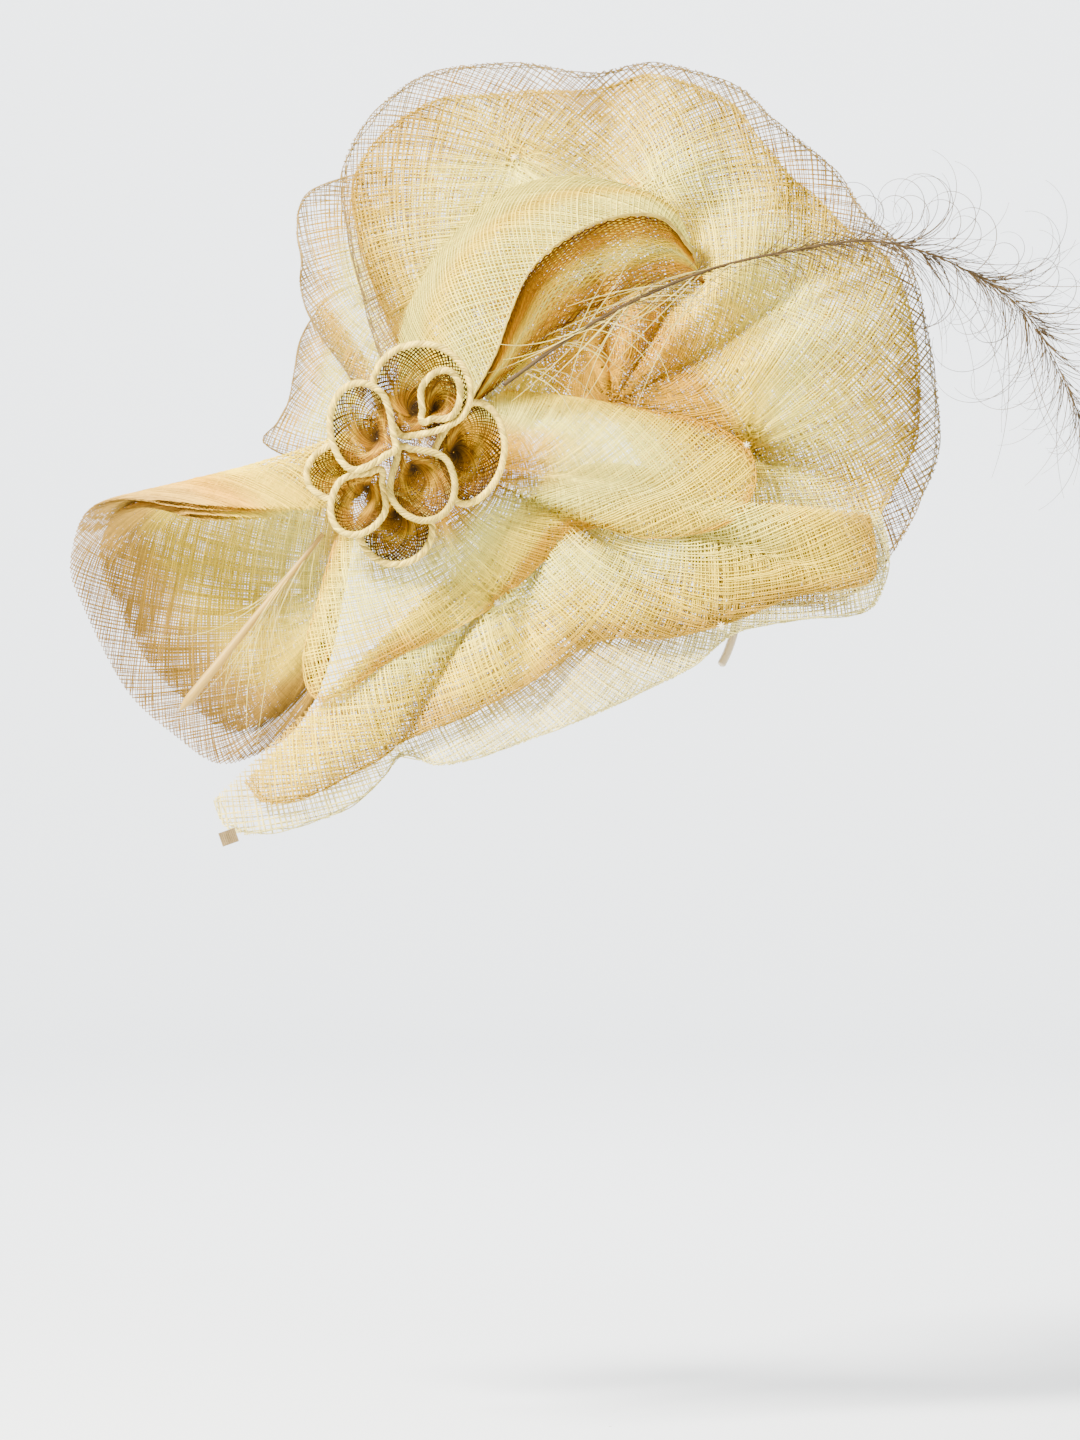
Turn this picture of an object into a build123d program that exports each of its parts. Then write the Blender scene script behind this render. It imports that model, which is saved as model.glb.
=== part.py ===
"""Fascinator headpiece: frills of open-weave sinamay on a domed base and a sprung headband.

Millimetres, +Z up, the show side faces -Y. The origin is the centre of the circle that the
headband's inside follows, which is where the middle of the wearer's head comes. The headband
is worn leaning towards +X.
"""

from build123d import *
from math import cos, degrees, pi, radians, sin, sqrt
import os

os.makedirs("parts", exist_ok=True)

# ---------------------------------------------------------------- driving dimensions
HEAD_LEAN = 17.0  # degrees that the headband leans towards +X
BAND_R = 70.0  # inside radius of the headband
BAND_THICK = 5.2  # satin cover, over all
BAND_WIDTH = 12.0
CORE_THICK = 1.2  # spring-steel strip inside the cover
CORE_WIDTH = 8.0
CORE_GAP = 0.1  # between strip and cover, all round
CROWN_HALF = 60.0  # degrees of band each side of its top, before the legs begin
LEG_END = 99.0  # degrees from the top to the end of a leg's cover
TIP_ANGLE = 4.0  # degrees of band that a leg's tip takes
TIP_ROUND = 1.6
LEG_GAP = 0.35  # degrees between crown and leg, where the band flexes
TIP_GAP = 0.05  # degrees between a leg and its tip

CAP_R = 78.0  # inside radius of the domed base
CAP_THICK = 1.6
CAP_HALF = 46.0  # degrees from the dome's top to its edge
BINDING_R = 1.5  # section radius of the dome's bound edge
BINDING_GAP = 0.1  # between the dome's edge and its binding

CLOTH = 1.0  # thickness of one folded layer of sinamay
LEAN_Y = -63.0  # the frills stand about a plane that passes here ...
LEAN_Z = 80.0  # ... at this height ...
LEAN_SLOPE = 0.28  # ... and leans back this much for each millimetre up
SET_BACK = 16.0  # how far each upper layer's edge lies inside the lower layer's

PETAL_DEPTH = 9.0
PETAL_WALL = 0.8
EDGE_R = 1.9  # section radius of a petal's rolled edge
THREAD_R = 0.6
TRUMPET_BELLY = 8.0  # how far the trumpet swells between mouth and neck


# ---------------------------------------------------------------- helpers
def save(part, name):
    """Labels a finished piece and writes its STEP file."""
    part.label = name
    export_step(part, f"parts/{name}.step")


def lean(z):
    """Y of the leaning plane that the frills stand about."""
    return LEAN_Y + (z - LEAN_Z) * LEAN_SLOPE


def smooth(points, t):
    """The point at t, from 0 to 1, of the Catmull-Rom curve through the points."""
    spans = len(points) - 1
    k = min(int(t * spans), spans - 1)
    u = t * spans - k
    a, b, c, d = (points[min(max(i, 0), spans)] for i in range(k - 1, k + 3))
    return tuple(
        q
        + 0.5 * u * (r - p + u * (2 * p - 5 * q + 4 * r - s + u * (3 * (q - r) + s - p)))
        for p, q, r, s in zip(a, b, c, d)
    )


def blend(a, b, share):
    return tuple(p + (q - p) * share for p, q in zip(a, b))


def frill_point(frill, t, s):
    """A point of a frill: t runs along its edge, s from 0 at the edge to 1 at its root.

    Edge points are (x, z, forward), forward being how far they stand in front of the leaning
    plane. The root is an arc about the hub, which the cloth is gathered into.
    """
    x, z, forward = smooth(frill["edge"], t)
    hub_x, hub_z, hub_forward = frill["hub"]
    reach = sqrt((x - hub_x) ** 2 + (z - hub_z) ** 2)
    cut = frill["set_back"] / reach
    x, z, forward = blend((x, z, forward), frill["hub"], cut)
    root = blend(frill["hub"], (x, z, hub_forward), frill["root_r"] / (reach * (1 - cut)))
    x, z, forward = blend((x, z, forward), root, s)
    forward += frill["layer"] + frill["swell"] * sin(pi * s)
    return (x, lean(z) - forward, z)


def frill(edge, hub, root_r, layer, swell, set_back=0.0):
    return dict(
        edge=edge, hub=hub, root_r=root_r, layer=layer, swell=swell, set_back=set_back
    )


def cloth_sheet(name, point, along, across):
    """A sheet of cloth as one thin closed solid through a net of its points."""
    net = [[Vector(*point(i / along, j / across)) for i in range(along + 1)]
           for j in range(across + 1)]
    middle = Face.make_surface_from_array_of_points(net, tol=0.2)
    with BuildPart() as sheet:
        thicken(middle, amount=CLOTH)
    save(sheet.part, name)


# ---------------------------------------------------------------- planes of the head
LEAN_RAD = radians(HEAD_LEAN)
HEAD_UP = Vector(sin(LEAN_RAD), 0, cos(LEAN_RAD))
HEAD_SIDE = Vector(cos(LEAN_RAD), 0, -sin(LEAN_RAD))
FACE_ON = Plane(origin=(0, 0, 0), x_dir=HEAD_SIDE, z_dir=(0, -1, 0))
UP_AXIS = Axis((0, 0, 0), HEAD_UP)


def on_head(radius, angle, y):
    """The point at this radius and this many degrees from the band's top, towards +X."""
    a = radians(angle)
    return HEAD_SIDE * (radius * sin(a)) + HEAD_UP * (radius * cos(a)) + Vector(0, y, 0)


# ---------------------------------------------------------------- headband
def ring_sector(inner, outer, start, end):
    """A piece of ring as a sketch, from start to end degrees past the top."""
    with BuildSketch() as sector:
        with BuildLine():
            CenterArc((0, 0), outer, 90 - end, end - start)
            CenterArc((0, 0), inner, 90 - end, end - start)
            for a in (radians(90 - start), radians(90 - end)):
                Line((inner * cos(a), inner * sin(a)), (outer * cos(a), outer * sin(a)))
        make_face()
    return sector.sketch_local


CORE_IN = BAND_R + (BAND_THICK - CORE_THICK) / 2
CORE_OUT = CORE_IN + CORE_THICK


def band_cover(name, start, end):
    """Satin-covered padding, hollow for the steel strip."""
    outline = ring_sector(BAND_R, BAND_R + BAND_THICK, start, end)
    slot = ring_sector(CORE_IN - CORE_GAP, CORE_OUT + CORE_GAP, start - 1, end + 1)
    with BuildPart() as cover:
        with BuildSketch(FACE_ON):
            add(outline)
        extrude(amount=BAND_WIDTH / 2, both=True)
        with BuildSketch(FACE_ON):
            add(slot)
        extrude(amount=CORE_WIDTH / 2 + CORE_GAP, both=True, mode=Mode.SUBTRACT)
    save(cover.part, name)


def band_core(name, start, end):
    """Spring-steel strip."""
    outline = ring_sector(CORE_IN, CORE_OUT, start, end)
    with BuildPart() as core:
        with BuildSketch(FACE_ON):
            add(outline)
        extrude(amount=CORE_WIDTH / 2, both=True)
    save(core.part, name)


def band_tip(name, start, end, outer_angle):
    """Folded satin end that closes a leg, with its outer corners rounded."""
    outline = ring_sector(BAND_R, BAND_R + BAND_THICK, start, end)
    with BuildPart() as tip:
        with BuildSketch(FACE_ON):
            add(outline)
        extrude(amount=BAND_WIDTH / 2, both=True)
        far = on_head(BAND_R + BAND_THICK / 2, outer_angle, 0)
        end_face = tip.faces().sort_by_distance(far)[0]
        fillet(end_face.edges(), radius=TIP_ROUND)
    save(tip.part, name)


band_cover("band_cover", -CROWN_HALF, CROWN_HALF)
band_core("band_core", -CROWN_HALF, CROWN_HALF)
LEG_START = CROWN_HALF + LEG_GAP
for side, sign in (("left", -1), ("right", 1)):
    low, high = sorted((sign * LEG_START, sign * LEG_END))
    band_cover(f"{side}_leg_cover", low, high)
    band_core(f"{side}_leg_core", low, high)
    low, high = sorted((sign * (LEG_END + TIP_GAP), sign * (LEG_END + TIP_ANGLE)))
    band_tip(f"{side}_leg_tip", low, high, sign * (LEG_END + TIP_ANGLE))

# ---------------------------------------------------------------- domed base
cap_section = ring_sector(CAP_R, CAP_R + CAP_THICK, 0, CAP_HALF)
with BuildPart() as base_cap:
    with BuildSketch(FACE_ON):
        add(cap_section)
    revolve(axis=UP_AXIS)
save(base_cap.part, "base_cap")

BINDING_ANGLE = CAP_HALF + degrees((BINDING_R + BINDING_GAP) / CAP_R)
with BuildPart() as base_binding:
    with BuildSketch(FACE_ON):
        a = radians(90 - BINDING_ANGLE)
        with Locations(((CAP_R + CAP_THICK / 2) * cos(a), (CAP_R + CAP_THICK / 2) * sin(a))):
            Circle(BINDING_R)
    revolve(axis=UP_AXIS)
save(base_binding.part, "base_binding")

# Whip stitches that hold the band to the base, lying across the band's outside.
STITCH_ANGLES = (-30, -18, -6, 6, 18, 30)
STITCH_GAP = 0.1  # between a stitch and the satin
STITCH_SHORT = 1.0  # how far a stitch stops inside each side of the band
with BuildPart() as band_stitches:
    for angle in STITCH_ANGLES:
        spot = on_head(BAND_R + BAND_THICK + THREAD_R + STITCH_GAP, angle, 0)
        with BuildSketch(Plane(origin=spot, x_dir=HEAD_SIDE, z_dir=(0, -1, 0))):
            Circle(THREAD_R)
        extrude(amount=BAND_WIDTH / 2 - STITCH_SHORT, both=True)
save(band_stitches.part, "band_stitches")

# ---------------------------------------------------------------- upper fan and back layers
FAN_EDGE = [
    (-108, 88, 2), (-130, 136, 4), (-149, 205, 4), (-153, 246, 0), (-136, 280, -4), (-103, 305, -8),
    (-52, 311, -10), (-12, 304, 0), (27, 311, -10), (73, 297, -6), (94, 276, 4),
    (129, 247, -6), (146, 220, 4), (168, 198, 0), (181, 150, -10), (186, 90, -14),
    (174, 56, -8), (160, 30, -2), (134, 2, 2), (94, -4, 6), (52, 4, 8),
]
FAN_HUB = (0, 108, 10)
fan_under = frill(FAN_EDGE, FAN_HUB, root_r=8, layer=-12, swell=-3)
fan_top = frill(FAN_EDGE, FAN_HUB, root_r=8, layer=-2, swell=-3, set_back=SET_BACK)

LOBE_EDGE = [
    (-144, 246, -14), (-169, 237, -16), (-178, 226, -20), (-179, 210, -22), (-176, 194, -16),
    (-177, 182, -20), (-173, 166, -20), (-163, 148, -18), (-151, 132, -18), (-141, 114, -18),
]
back_lobe = frill(LOBE_EDGE, (-102, 158, -30), root_r=16, layer=-8, swell=-4)

LEAF_EDGE = [
    (-164, 172, -24), (-176, 152, -25), (-180, 132, -25), (-183, 114, -22), (-189, 101, -16),
    (-197, 91, -10), (-186, 83, -14), (-168, 78, -20), (-150, 76, -26),
]
back_leaf = frill(LEAF_EDGE, (-122, 118, -28), root_r=18, layer=-14, swell=-3)

# ---------------------------------------------------------------- brim
BRIM_EDGE = [
    (150, 48, 0), (154, 26, 4), (150, 5, 2), (139, -8, -2), (104, -12, 4), (69, -19, -2),
    (44, -38, 4), (16, -52, 6), (-7, -63, 6), (-40, -76, 4), (-74, -88, 2), (-97, -92, 0),
    (-116, -86, -4), (-126, -99, 0), (-144, -115, 4), (-172, -126, 6), (-198, -130, 4),
    (-213, -125, 2), (-219, -111, 0),
]
BRIM_HUB = (-40, 62, 0)
brim_under = frill(BRIM_EDGE, BRIM_HUB, root_r=22, layer=10, swell=3)

BRIM_TOP_EDGE = [
    (143, 47, 0), (146, 26, 2), (141, 8, 0), (104, 2, 2), (69, -12, -2), (32, -22, 4),
    (-8, -24, 6), (-44, -46, 6), (-82, -66, 4), (-114, -76, 0), (-134, -92, 2),
    (-166, -109, 5), (-189, -113, 3), (-202, -101, 2),
]
brim_top = frill(BRIM_TOP_EDGE, BRIM_HUB, root_r=22, layer=20, swell=5)

# ---------------------------------------------------------------- front frill round the flower
FRONT_EDGE = [
    (-58, 117, -8), (-18, 113, -14), (21, 106, -16), (58, 97, -14), (78, 80, -6), (78, 58, 0),
    (62, 40, 3), (21, 33, 2), (-12, 40, -3), (-38, 20, 2), (-63, -4, -2), (-96, -22, 4),
    (-124, -36, 4), (-150, -54, 6), (-165, -54, 6), (-170, -32, 4), (-162, 0, 2),
    (-154, 30, 0),
]
FLOWER_X, FLOWER_Z = -117.0, 81.0
front_frill = frill(FRONT_EDGE, (FLOWER_X + 12, FLOWER_Z, 4), root_r=12, layer=30, swell=4)

FRILLS = dict(
    fan_under=fan_under, fan_top=fan_top, back_lobe=back_lobe, back_leaf=back_leaf,
    brim_under=brim_under, brim_top=brim_top, front_frill=front_frill,
)
for name, one in FRILLS.items():
    spans = 2 * (len(one["edge"]) - 1)
    cloth_sheet(name, lambda t, s, one=one: frill_point(one, t, s), spans, 6)

# ---------------------------------------------------------------- swirl, a rolled fold
# Guide points are (x, z, forward), as on a frill's edge.
SWIRL_LEFT = [
    (-119, 112, 6), (-119, 156, 6), (-113, 176, 6), (-102, 196, 6), (-88, 212, 6),
    (-68, 230, 6), (-38, 240, 6), (-7, 240, 6), (21, 231, 6),
]
SWIRL_CREST = [
    (-98, 116, 44), (-98, 156, 52), (-88, 180, 54), (-72, 201, 52), (-50, 217, 47),
    (-24, 227, 42), (2, 230, 35), (24, 227, 28), (38, 218, 21),
]
SWIRL_FOLD = [
    (-79, 108, 46), (-65, 134, 56), (-58, 154, 58), (-47, 180, 57), (-30, 198, 52),
    (-7, 211, 46), (16, 216, 39), (32, 212, 31), (46, 196, 17),
]
SWIRL_HOLLOW = [
    (-75, 110, 26), (-52, 130, 17), (-36, 146, 16), (-20, 158, 16), (-3, 168, 15),
    (16, 176, 15), (34, 180, 14), (48, 180, 11), (58, 176, 6),
]
LIP_BACK = 6.0  # how far the inner layer's edge stands behind the outer one's
LIP_DOWN = 2.0
WALL_BACK = 8.0  # how far the inner face hollows out
WALL_ASIDE = 2.0
SWIRL_LIP = [(x, z - LIP_DOWN, forward - LIP_BACK) for x, z, forward in SWIRL_FOLD]
SWIRL_WALL = [
    (x - WALL_ASIDE, z, forward - WALL_BACK) for x, z, forward in
    (blend(lip, hollow, 0.5) for lip, hollow in zip(SWIRL_LIP, SWIRL_HOLLOW))
]


def guided_point(guides, t, s):
    """A point of a sheet through guide curves: t runs along them, s from the first to the last."""
    x, z, forward = smooth([smooth(guide, t) for guide in guides], s)
    return (x, lean(z) - forward, z)


SWIRLS = dict(
    swirl_outer=[SWIRL_LEFT, SWIRL_CREST, SWIRL_FOLD],
    swirl_inner=[SWIRL_LIP, SWIRL_WALL, SWIRL_HOLLOW],
)
for name, guides in SWIRLS.items():
    cloth_sheet(name, lambda t, s, guides=guides: guided_point(guides, t, s), 16, 6)

# ---------------------------------------------------------------- trumpet at the left
# Points of the mouth are (x, y, z), from below and behind round to the front flap's corner.
MOUTH = [
    (-163, -82, -52), (-178, -79, -74), (-199, -75, -87), (-221, -68, -91), (-243, -58, -77), (-268, -45, -56), (-284, -36, -32),
    (-298, -32, -3), (-305, -34, 16), (-302, -42, 36), (-294, -56, 50), (-277, -78, 56),
    (-252, -102, 54),
]
MOUTH_MIDDLE = (-255, -90, -15)
NECK = (-145, -96, 62)  # centre of the ring that the trumpet narrows to
NECK_DEEP = 20.0
NECK_TALL = 30.0
NECK_FROM = -90.0  # degrees round the neck, where 0 is behind and 90 on top
NECK_TO = 205.0
LINING_IN = 8.0  # how far the inner layer stands inside the outer one


def trumpet_point(t, s, set_back, inside):
    """t runs round the mouth, s from 0 at the mouth to 1 at the neck."""
    a = radians(NECK_FROM + (NECK_TO - NECK_FROM) * t)
    neck = (NECK[0], NECK[1] + NECK_DEEP * cos(a), NECK[2] + NECK_TALL * sin(a))
    rim = smooth(MOUTH, t)
    length = sqrt(sum((p - q) ** 2 for p, q in zip(rim, neck)))
    share = set_back / length + (1 - set_back / length) * s
    x, y, z = blend(rim, neck, share)
    out = TRUMPET_BELLY * sin(pi * share)
    point = Vector(x, y + out * cos(a), z + out * sin(a))
    middle = Vector(*blend(MOUTH_MIDDLE, NECK, share))
    return tuple(point + (middle - point).normalized() * inside)


cloth_sheet("trumpet_outer", lambda t, s: trumpet_point(t, s, 0.0, 0.0), 24, 6)
cloth_sheet("trumpet_inner", lambda t, s: trumpet_point(t, s, SET_BACK, LINING_IN), 24, 6)

# Bound end of the brim's edging, below the brim's pointed corner.
TAB_X = -210.0
TAB_Z = -131.0
TAB_WIDE = 9.0
TAB_TALL = 8.0
TAB_FORWARD = 18.0
TAB_ROUND = 2.0
TAB_HALF_THICK = 0.6
with BuildPart() as edging_end:
    spot = (TAB_X, lean(TAB_Z) - TAB_FORWARD, TAB_Z)
    with BuildSketch(Plane(origin=spot, x_dir=(1, 0, 0.35), z_dir=(0, -1, 0))):
        RectangleRounded(TAB_WIDE, TAB_TALL, TAB_ROUND)
    extrude(amount=TAB_HALF_THICK, both=True)
save(edging_end.part, "edging_end")

# ---------------------------------------------------------------- flower of sinamay loops
FLOWER_BACK = -121.0  # Y of the back of the rearmost petals
ROW_GAP = 0.6
EDGE_GAP = 0.1  # between a petal and its rolled edge
PETAL_STEP = PETAL_DEPTH + 2 * EDGE_R + ROW_GAP  # from one row of petals to the next
# (x, z, half width, half height, turn in degrees, row from the back)
PETALS = [
    (-105, 113, 26, 24, 0, 1),
    (-99, 111, 9, 11, -30, 1),
    (-136, 91, 17, 24, 8, 2),
    (-155, 67, 12, 13, 0, 0),
    (-142, 49, 13, 15, -25, 1),
    (-106, 62, 17, 20, 20, 1),
    (-119, 33, 19, 11, 10, 0),
    (-75, 79, 14, 26, -12, 0),
]
for number, (x, z, wide, tall, turn, row) in enumerate(PETALS, 1):
    a = radians(turn)
    back = Plane(
        origin=(x, FLOWER_BACK - row * PETAL_STEP, z), x_dir=(cos(a), 0, sin(a)), z_dir=(0, -1, 0)
    )
    with BuildPart() as petal:
        with BuildSketch(back):
            Ellipse(wide, tall)
            Ellipse(wide - PETAL_WALL, tall - PETAL_WALL, mode=Mode.SUBTRACT)
        extrude(amount=PETAL_DEPTH)
    save(petal.part, f"petal_{number}")

    with BuildPart() as petal_edge:
        with BuildLine(back.offset(PETAL_DEPTH + EDGE_R + EDGE_GAP)) as loop:
            EllipticalCenterArc((0, 0), wide, tall, 0, arc_size=360)
        with BuildSketch(Plane(origin=loop.line @ 0, z_dir=loop.line % 0)):
            Circle(EDGE_R)
        sweep()
    save(petal_edge.part, f"petal_edge_{number}")

BACKING_R = 26.0
BACKING_THICK = 1.2
BACKING_Y = FLOWER_BACK + 4.0
with BuildPart() as flower_backing:
    with BuildSketch(Plane(origin=(FLOWER_X, BACKING_Y, FLOWER_Z), x_dir=(1, 0, 0), z_dir=(0, -1, 0))):
        Circle(BACKING_R)
    extrude(amount=BACKING_THICK)
save(flower_backing.part, "flower_backing")

KNOT_R = 3.0
KNOT_AT = (-118, FLOWER_BACK - PETAL_STEP - 4, 83)
with BuildPart() as flower_knot:
    with Locations(KNOT_AT):
        Sphere(KNOT_R)
save(flower_knot.part, "flower_knot")


# ---------------------------------------------------------------- feather
SPINE_R = 0.8
SPINE = [
    (-60, -106, 118), (-8, -88, 155), (50, -68, 183), (105, -54, 197), (148, -48, 202),
    (192, -44, 190), (236, -36, 160), (266, -28, 104),
]
SPINE_BEND = 70.0  # radius of the bends
with BuildPart() as feather_spine:
    with BuildLine() as stem:
        FilletPolyline(*SPINE, radius=SPINE_BEND)
    with BuildSketch(Plane(origin=stem.line @ 0, z_dir=stem.line % 0)):
        Circle(SPINE_R)
    sweep()
save(feather_spine.part, "feather_spine")

BARB_GAP = 6.0  # how far the vane stands behind the spine
VANE_UPPER = [(103, -54, 212), (148, -48, 219), (200, -44, 206), (252, -36, 172), (280, -28, 112)]
VANE_LOWER = [(107, -54, 182), (144, -48, 186), (184, -44, 174), (222, -36, 148), (252, -28, 96)]


def vane_point(t, s):
    x, y, z = blend(smooth(VANE_UPPER, t), smooth(VANE_LOWER, t), s)
    return (x, y + BARB_GAP, z)


cloth_sheet("feather_barbs", vane_point, 12, 2)

QUILL_FROM = Vector(-160, -100, 36)
QUILL_TO = Vector(-239, -104, -62)
QUILL_THIN_R = 1.2
QUILL_THICK_R = 2.8
quill_way = QUILL_TO - QUILL_FROM
with BuildPart() as quill:
    with BuildSketch(Plane(origin=QUILL_FROM, z_dir=quill_way)):
        Circle(QUILL_THIN_R)
    with BuildSketch(Plane(origin=QUILL_TO, z_dir=quill_way)):
        Circle(QUILL_THICK_R)
    loft()
save(quill.part, "quill")

STRANDS_UPPER = [(-161, -95, 40), (-215, -93, 4)]
STRANDS_LOWER = [(-158, -95, 28), (-212, -93, -50)]
cloth_sheet(
    "quill_strands", lambda t, s: blend(smooth(STRANDS_UPPER, t), smooth(STRANDS_LOWER, t), s), 4, 2
)

# ---------------------------------------------------------------- stitches
TUCK_R = 1.3
TUCK_OUT = 3.6  # how far a knot stands in front of the cloth's middle
TUCKS = [
    (fan_top, 0.28, 0.24), (fan_top, 0.42, 0.4), (fan_top, 0.84, 0.42),
    (brim_top, 0.36, 0.16), (brim_top, 0.52, 0.55), (brim_top, 0.76, 0.3),
    (front_frill, 0.58, 0.08),
]
with BuildPart() as tuck_stitches:
    for one, t, s in TUCKS:
        x, y, z = frill_point(one, t, s)
        with Locations((x, y - TUCK_OUT, z)):
            Sphere(TUCK_R)
save(tuck_stitches.part, "tuck_stitches")

TIE_TURNS = (5, 15, 25, 35, 45)  # degrees round the dome's edge from its front
TIE_PLACES = (0.99, 0.98, 0.97, 0.96, 0.95)  # how far round the fan's edge each is sewn
TIE_IN = 0.4  # and how far in from that edge
TIE_CLEAR = 3.5  # threads start this far outside the dome's underside
TIE_SHORT = 2.4  # threads stop this far behind the fan's middle
with BuildPart() as base_stitches:
    for turn, place in zip(TIE_TURNS, TIE_PLACES):
        reach = (CAP_R + TIE_CLEAR) * sin(radians(BINDING_ANGLE))
        height = (CAP_R + TIE_CLEAR) * cos(radians(BINDING_ANGLE))
        start = HEAD_UP * height + HEAD_SIDE * (reach * sin(radians(turn)))
        start += Vector(0, -reach * cos(radians(turn)), 0)
        end = Vector(*frill_point(fan_under, place, TIE_IN)) + Vector(0, TIE_SHORT, 0)
        with BuildSketch(Plane(origin=start, z_dir=end - start)):
            Circle(THREAD_R)
        extrude(amount=(end - start).length)
save(base_stitches.part, "base_stitches")
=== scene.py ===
"""Fascinator headpiece in sinamay: looks. Sizes in millimetres, turned into metres at the mesh."""

from math import cos, pi, radians, sin, sqrt

import bpy
import numpy as np
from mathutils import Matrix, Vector


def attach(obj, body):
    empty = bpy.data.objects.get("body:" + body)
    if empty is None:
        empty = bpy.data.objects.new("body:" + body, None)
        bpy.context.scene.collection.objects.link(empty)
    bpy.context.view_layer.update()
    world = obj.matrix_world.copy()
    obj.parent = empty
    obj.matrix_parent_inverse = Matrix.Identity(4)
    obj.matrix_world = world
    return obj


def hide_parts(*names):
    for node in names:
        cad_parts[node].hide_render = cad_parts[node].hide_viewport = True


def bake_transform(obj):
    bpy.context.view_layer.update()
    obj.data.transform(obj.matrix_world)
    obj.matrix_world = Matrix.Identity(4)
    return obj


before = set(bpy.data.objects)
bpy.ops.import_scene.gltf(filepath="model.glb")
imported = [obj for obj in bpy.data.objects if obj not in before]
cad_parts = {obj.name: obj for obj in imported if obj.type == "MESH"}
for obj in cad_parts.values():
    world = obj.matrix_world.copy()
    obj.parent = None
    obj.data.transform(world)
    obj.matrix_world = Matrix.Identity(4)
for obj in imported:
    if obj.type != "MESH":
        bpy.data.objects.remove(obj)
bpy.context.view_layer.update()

MM = 0.001
RNG = np.random.default_rng(7)

# ---- shared dimensions
HEAD_LEAN = radians(17.0)
BAND_R, BAND_THICK, BAND_WIDTH = 70.0, 5.2, 12.0
LEG_END = 103.0
CAP_R, CAP_THICK, CAP_HALF = 78.0, 1.6, 46.0
LEAN_Y, LEAN_Z, LEAN_SLOPE = -63.0, 80.0, 0.28
SET_BACK = 16.0
AWAY = np.array([0, 1.0, 0])  # from the viewer


def unit(a):
    return a / np.maximum(np.linalg.norm(a, axis=-1, keepdims=True), 1e-9)


def both(u, s):
    """u and s as arrays of one shape."""
    return np.broadcast_arrays(np.asarray(u, float), np.asarray(s, float))


def facing(n):
    """n normals towards the viewer."""
    return np.tile([0, -1.0, 0], (n, 1))


def ring_quads(index, axis):
    """Faces between the rows of a grid of point numbers whose last axis closes on itself."""
    low, high = (index[:, :-1], index[:, 1:]) if axis == 2 else (index[:-1], index[1:])
    return np.stack([low, np.roll(low, -1, axis), np.roll(high, -1, axis), high], axis=-1)


def spline(a, b, c, d, u):
    """The Catmull-Rom curve between b and c, at u from 0 to 1."""
    return b + 0.5 * u * (c - a + u * (2 * a - 5 * b + 4 * c - d + u * (3 * (b - c) + d - a)))


def smooth(points, t):
    """Points of the Catmull-Rom curve through points, at an array of t from 0 to 1."""
    pts = np.asarray(points, float)
    spans = len(pts) - 1
    x = np.clip(t, 0, 1) * spans
    k = np.minimum(x.astype(int), spans - 1)
    u = (x - k)[..., None]
    a, b, c = pts[np.maximum(k - 1, 0)], pts[k], pts[k + 1]
    return spline(a, b, c, pts[np.minimum(k + 2, spans)], u)


class Line:
    """A smooth curve read by its share of length, from 0 to 1."""

    def __init__(self, points):
        self.points = points
        self.t = np.linspace(0, 1, 801)
        p = smooth(points, self.t)
        step = np.linalg.norm(np.diff(p, axis=0), axis=1)
        self.along = np.concatenate([[0], np.cumsum(step)])
        self.length = self.along[-1]

    def share_of(self, t):
        return float(np.interp(t, self.t, self.along) / self.length)

    def at(self, u):
        t = np.interp(np.clip(u, 0, 1) * self.length, self.along, self.t)
        return smooth(self.points, t)


def lean(z):
    return LEAN_Y + (z - LEAN_Z) * LEAN_SLOPE


def fields(x, z, forward):
    return np.stack([x, lean(z) - forward, z], axis=-1)


# ---- meshes
def make_mesh(name, verts, quads, uvs=None, sides=None, tones=None, smooth_faces=True):
    """A mesh object from arrays of points in millimetres and of four-cornered faces."""
    mesh = bpy.data.meshes.new(name)
    n, f = len(verts), len(quads)
    mesh.vertices.add(n)
    mesh.vertices.foreach_set("co", (verts * MM).astype(np.float32).ravel())
    mesh.loops.add(f * 4)
    mesh.loops.foreach_set("vertex_index", quads.astype(np.int32).ravel())
    mesh.polygons.add(f)
    mesh.polygons.foreach_set("loop_start", np.arange(0, f * 4, 4, dtype=np.int32))
    mesh.polygons.foreach_set("use_smooth", np.full(f, smooth_faces, dtype=bool))
    mesh.update(calc_edges=True)
    if uvs is not None:
        layer = mesh.uv_layers.new(name="OFBake")
        layer.data.foreach_set("uv", uvs[quads.ravel()].astype(np.float32).ravel())
    if sides is not None:
        mesh.attributes.new("cloth_side", "FLOAT_VECTOR", "POINT")
        mesh.attributes["cloth_side"].data.foreach_set("vector", sides.astype(np.float32).ravel())
    if tones is not None:
        mesh.attributes.new("thread_tone", "FLOAT", "POINT")
        mesh.attributes["thread_tone"].data.foreach_set("value", tones.astype(np.float32))
    obj = bpy.data.objects.new(name, mesh)
    bpy.context.scene.collection.objects.link(obj)
    return obj


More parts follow.
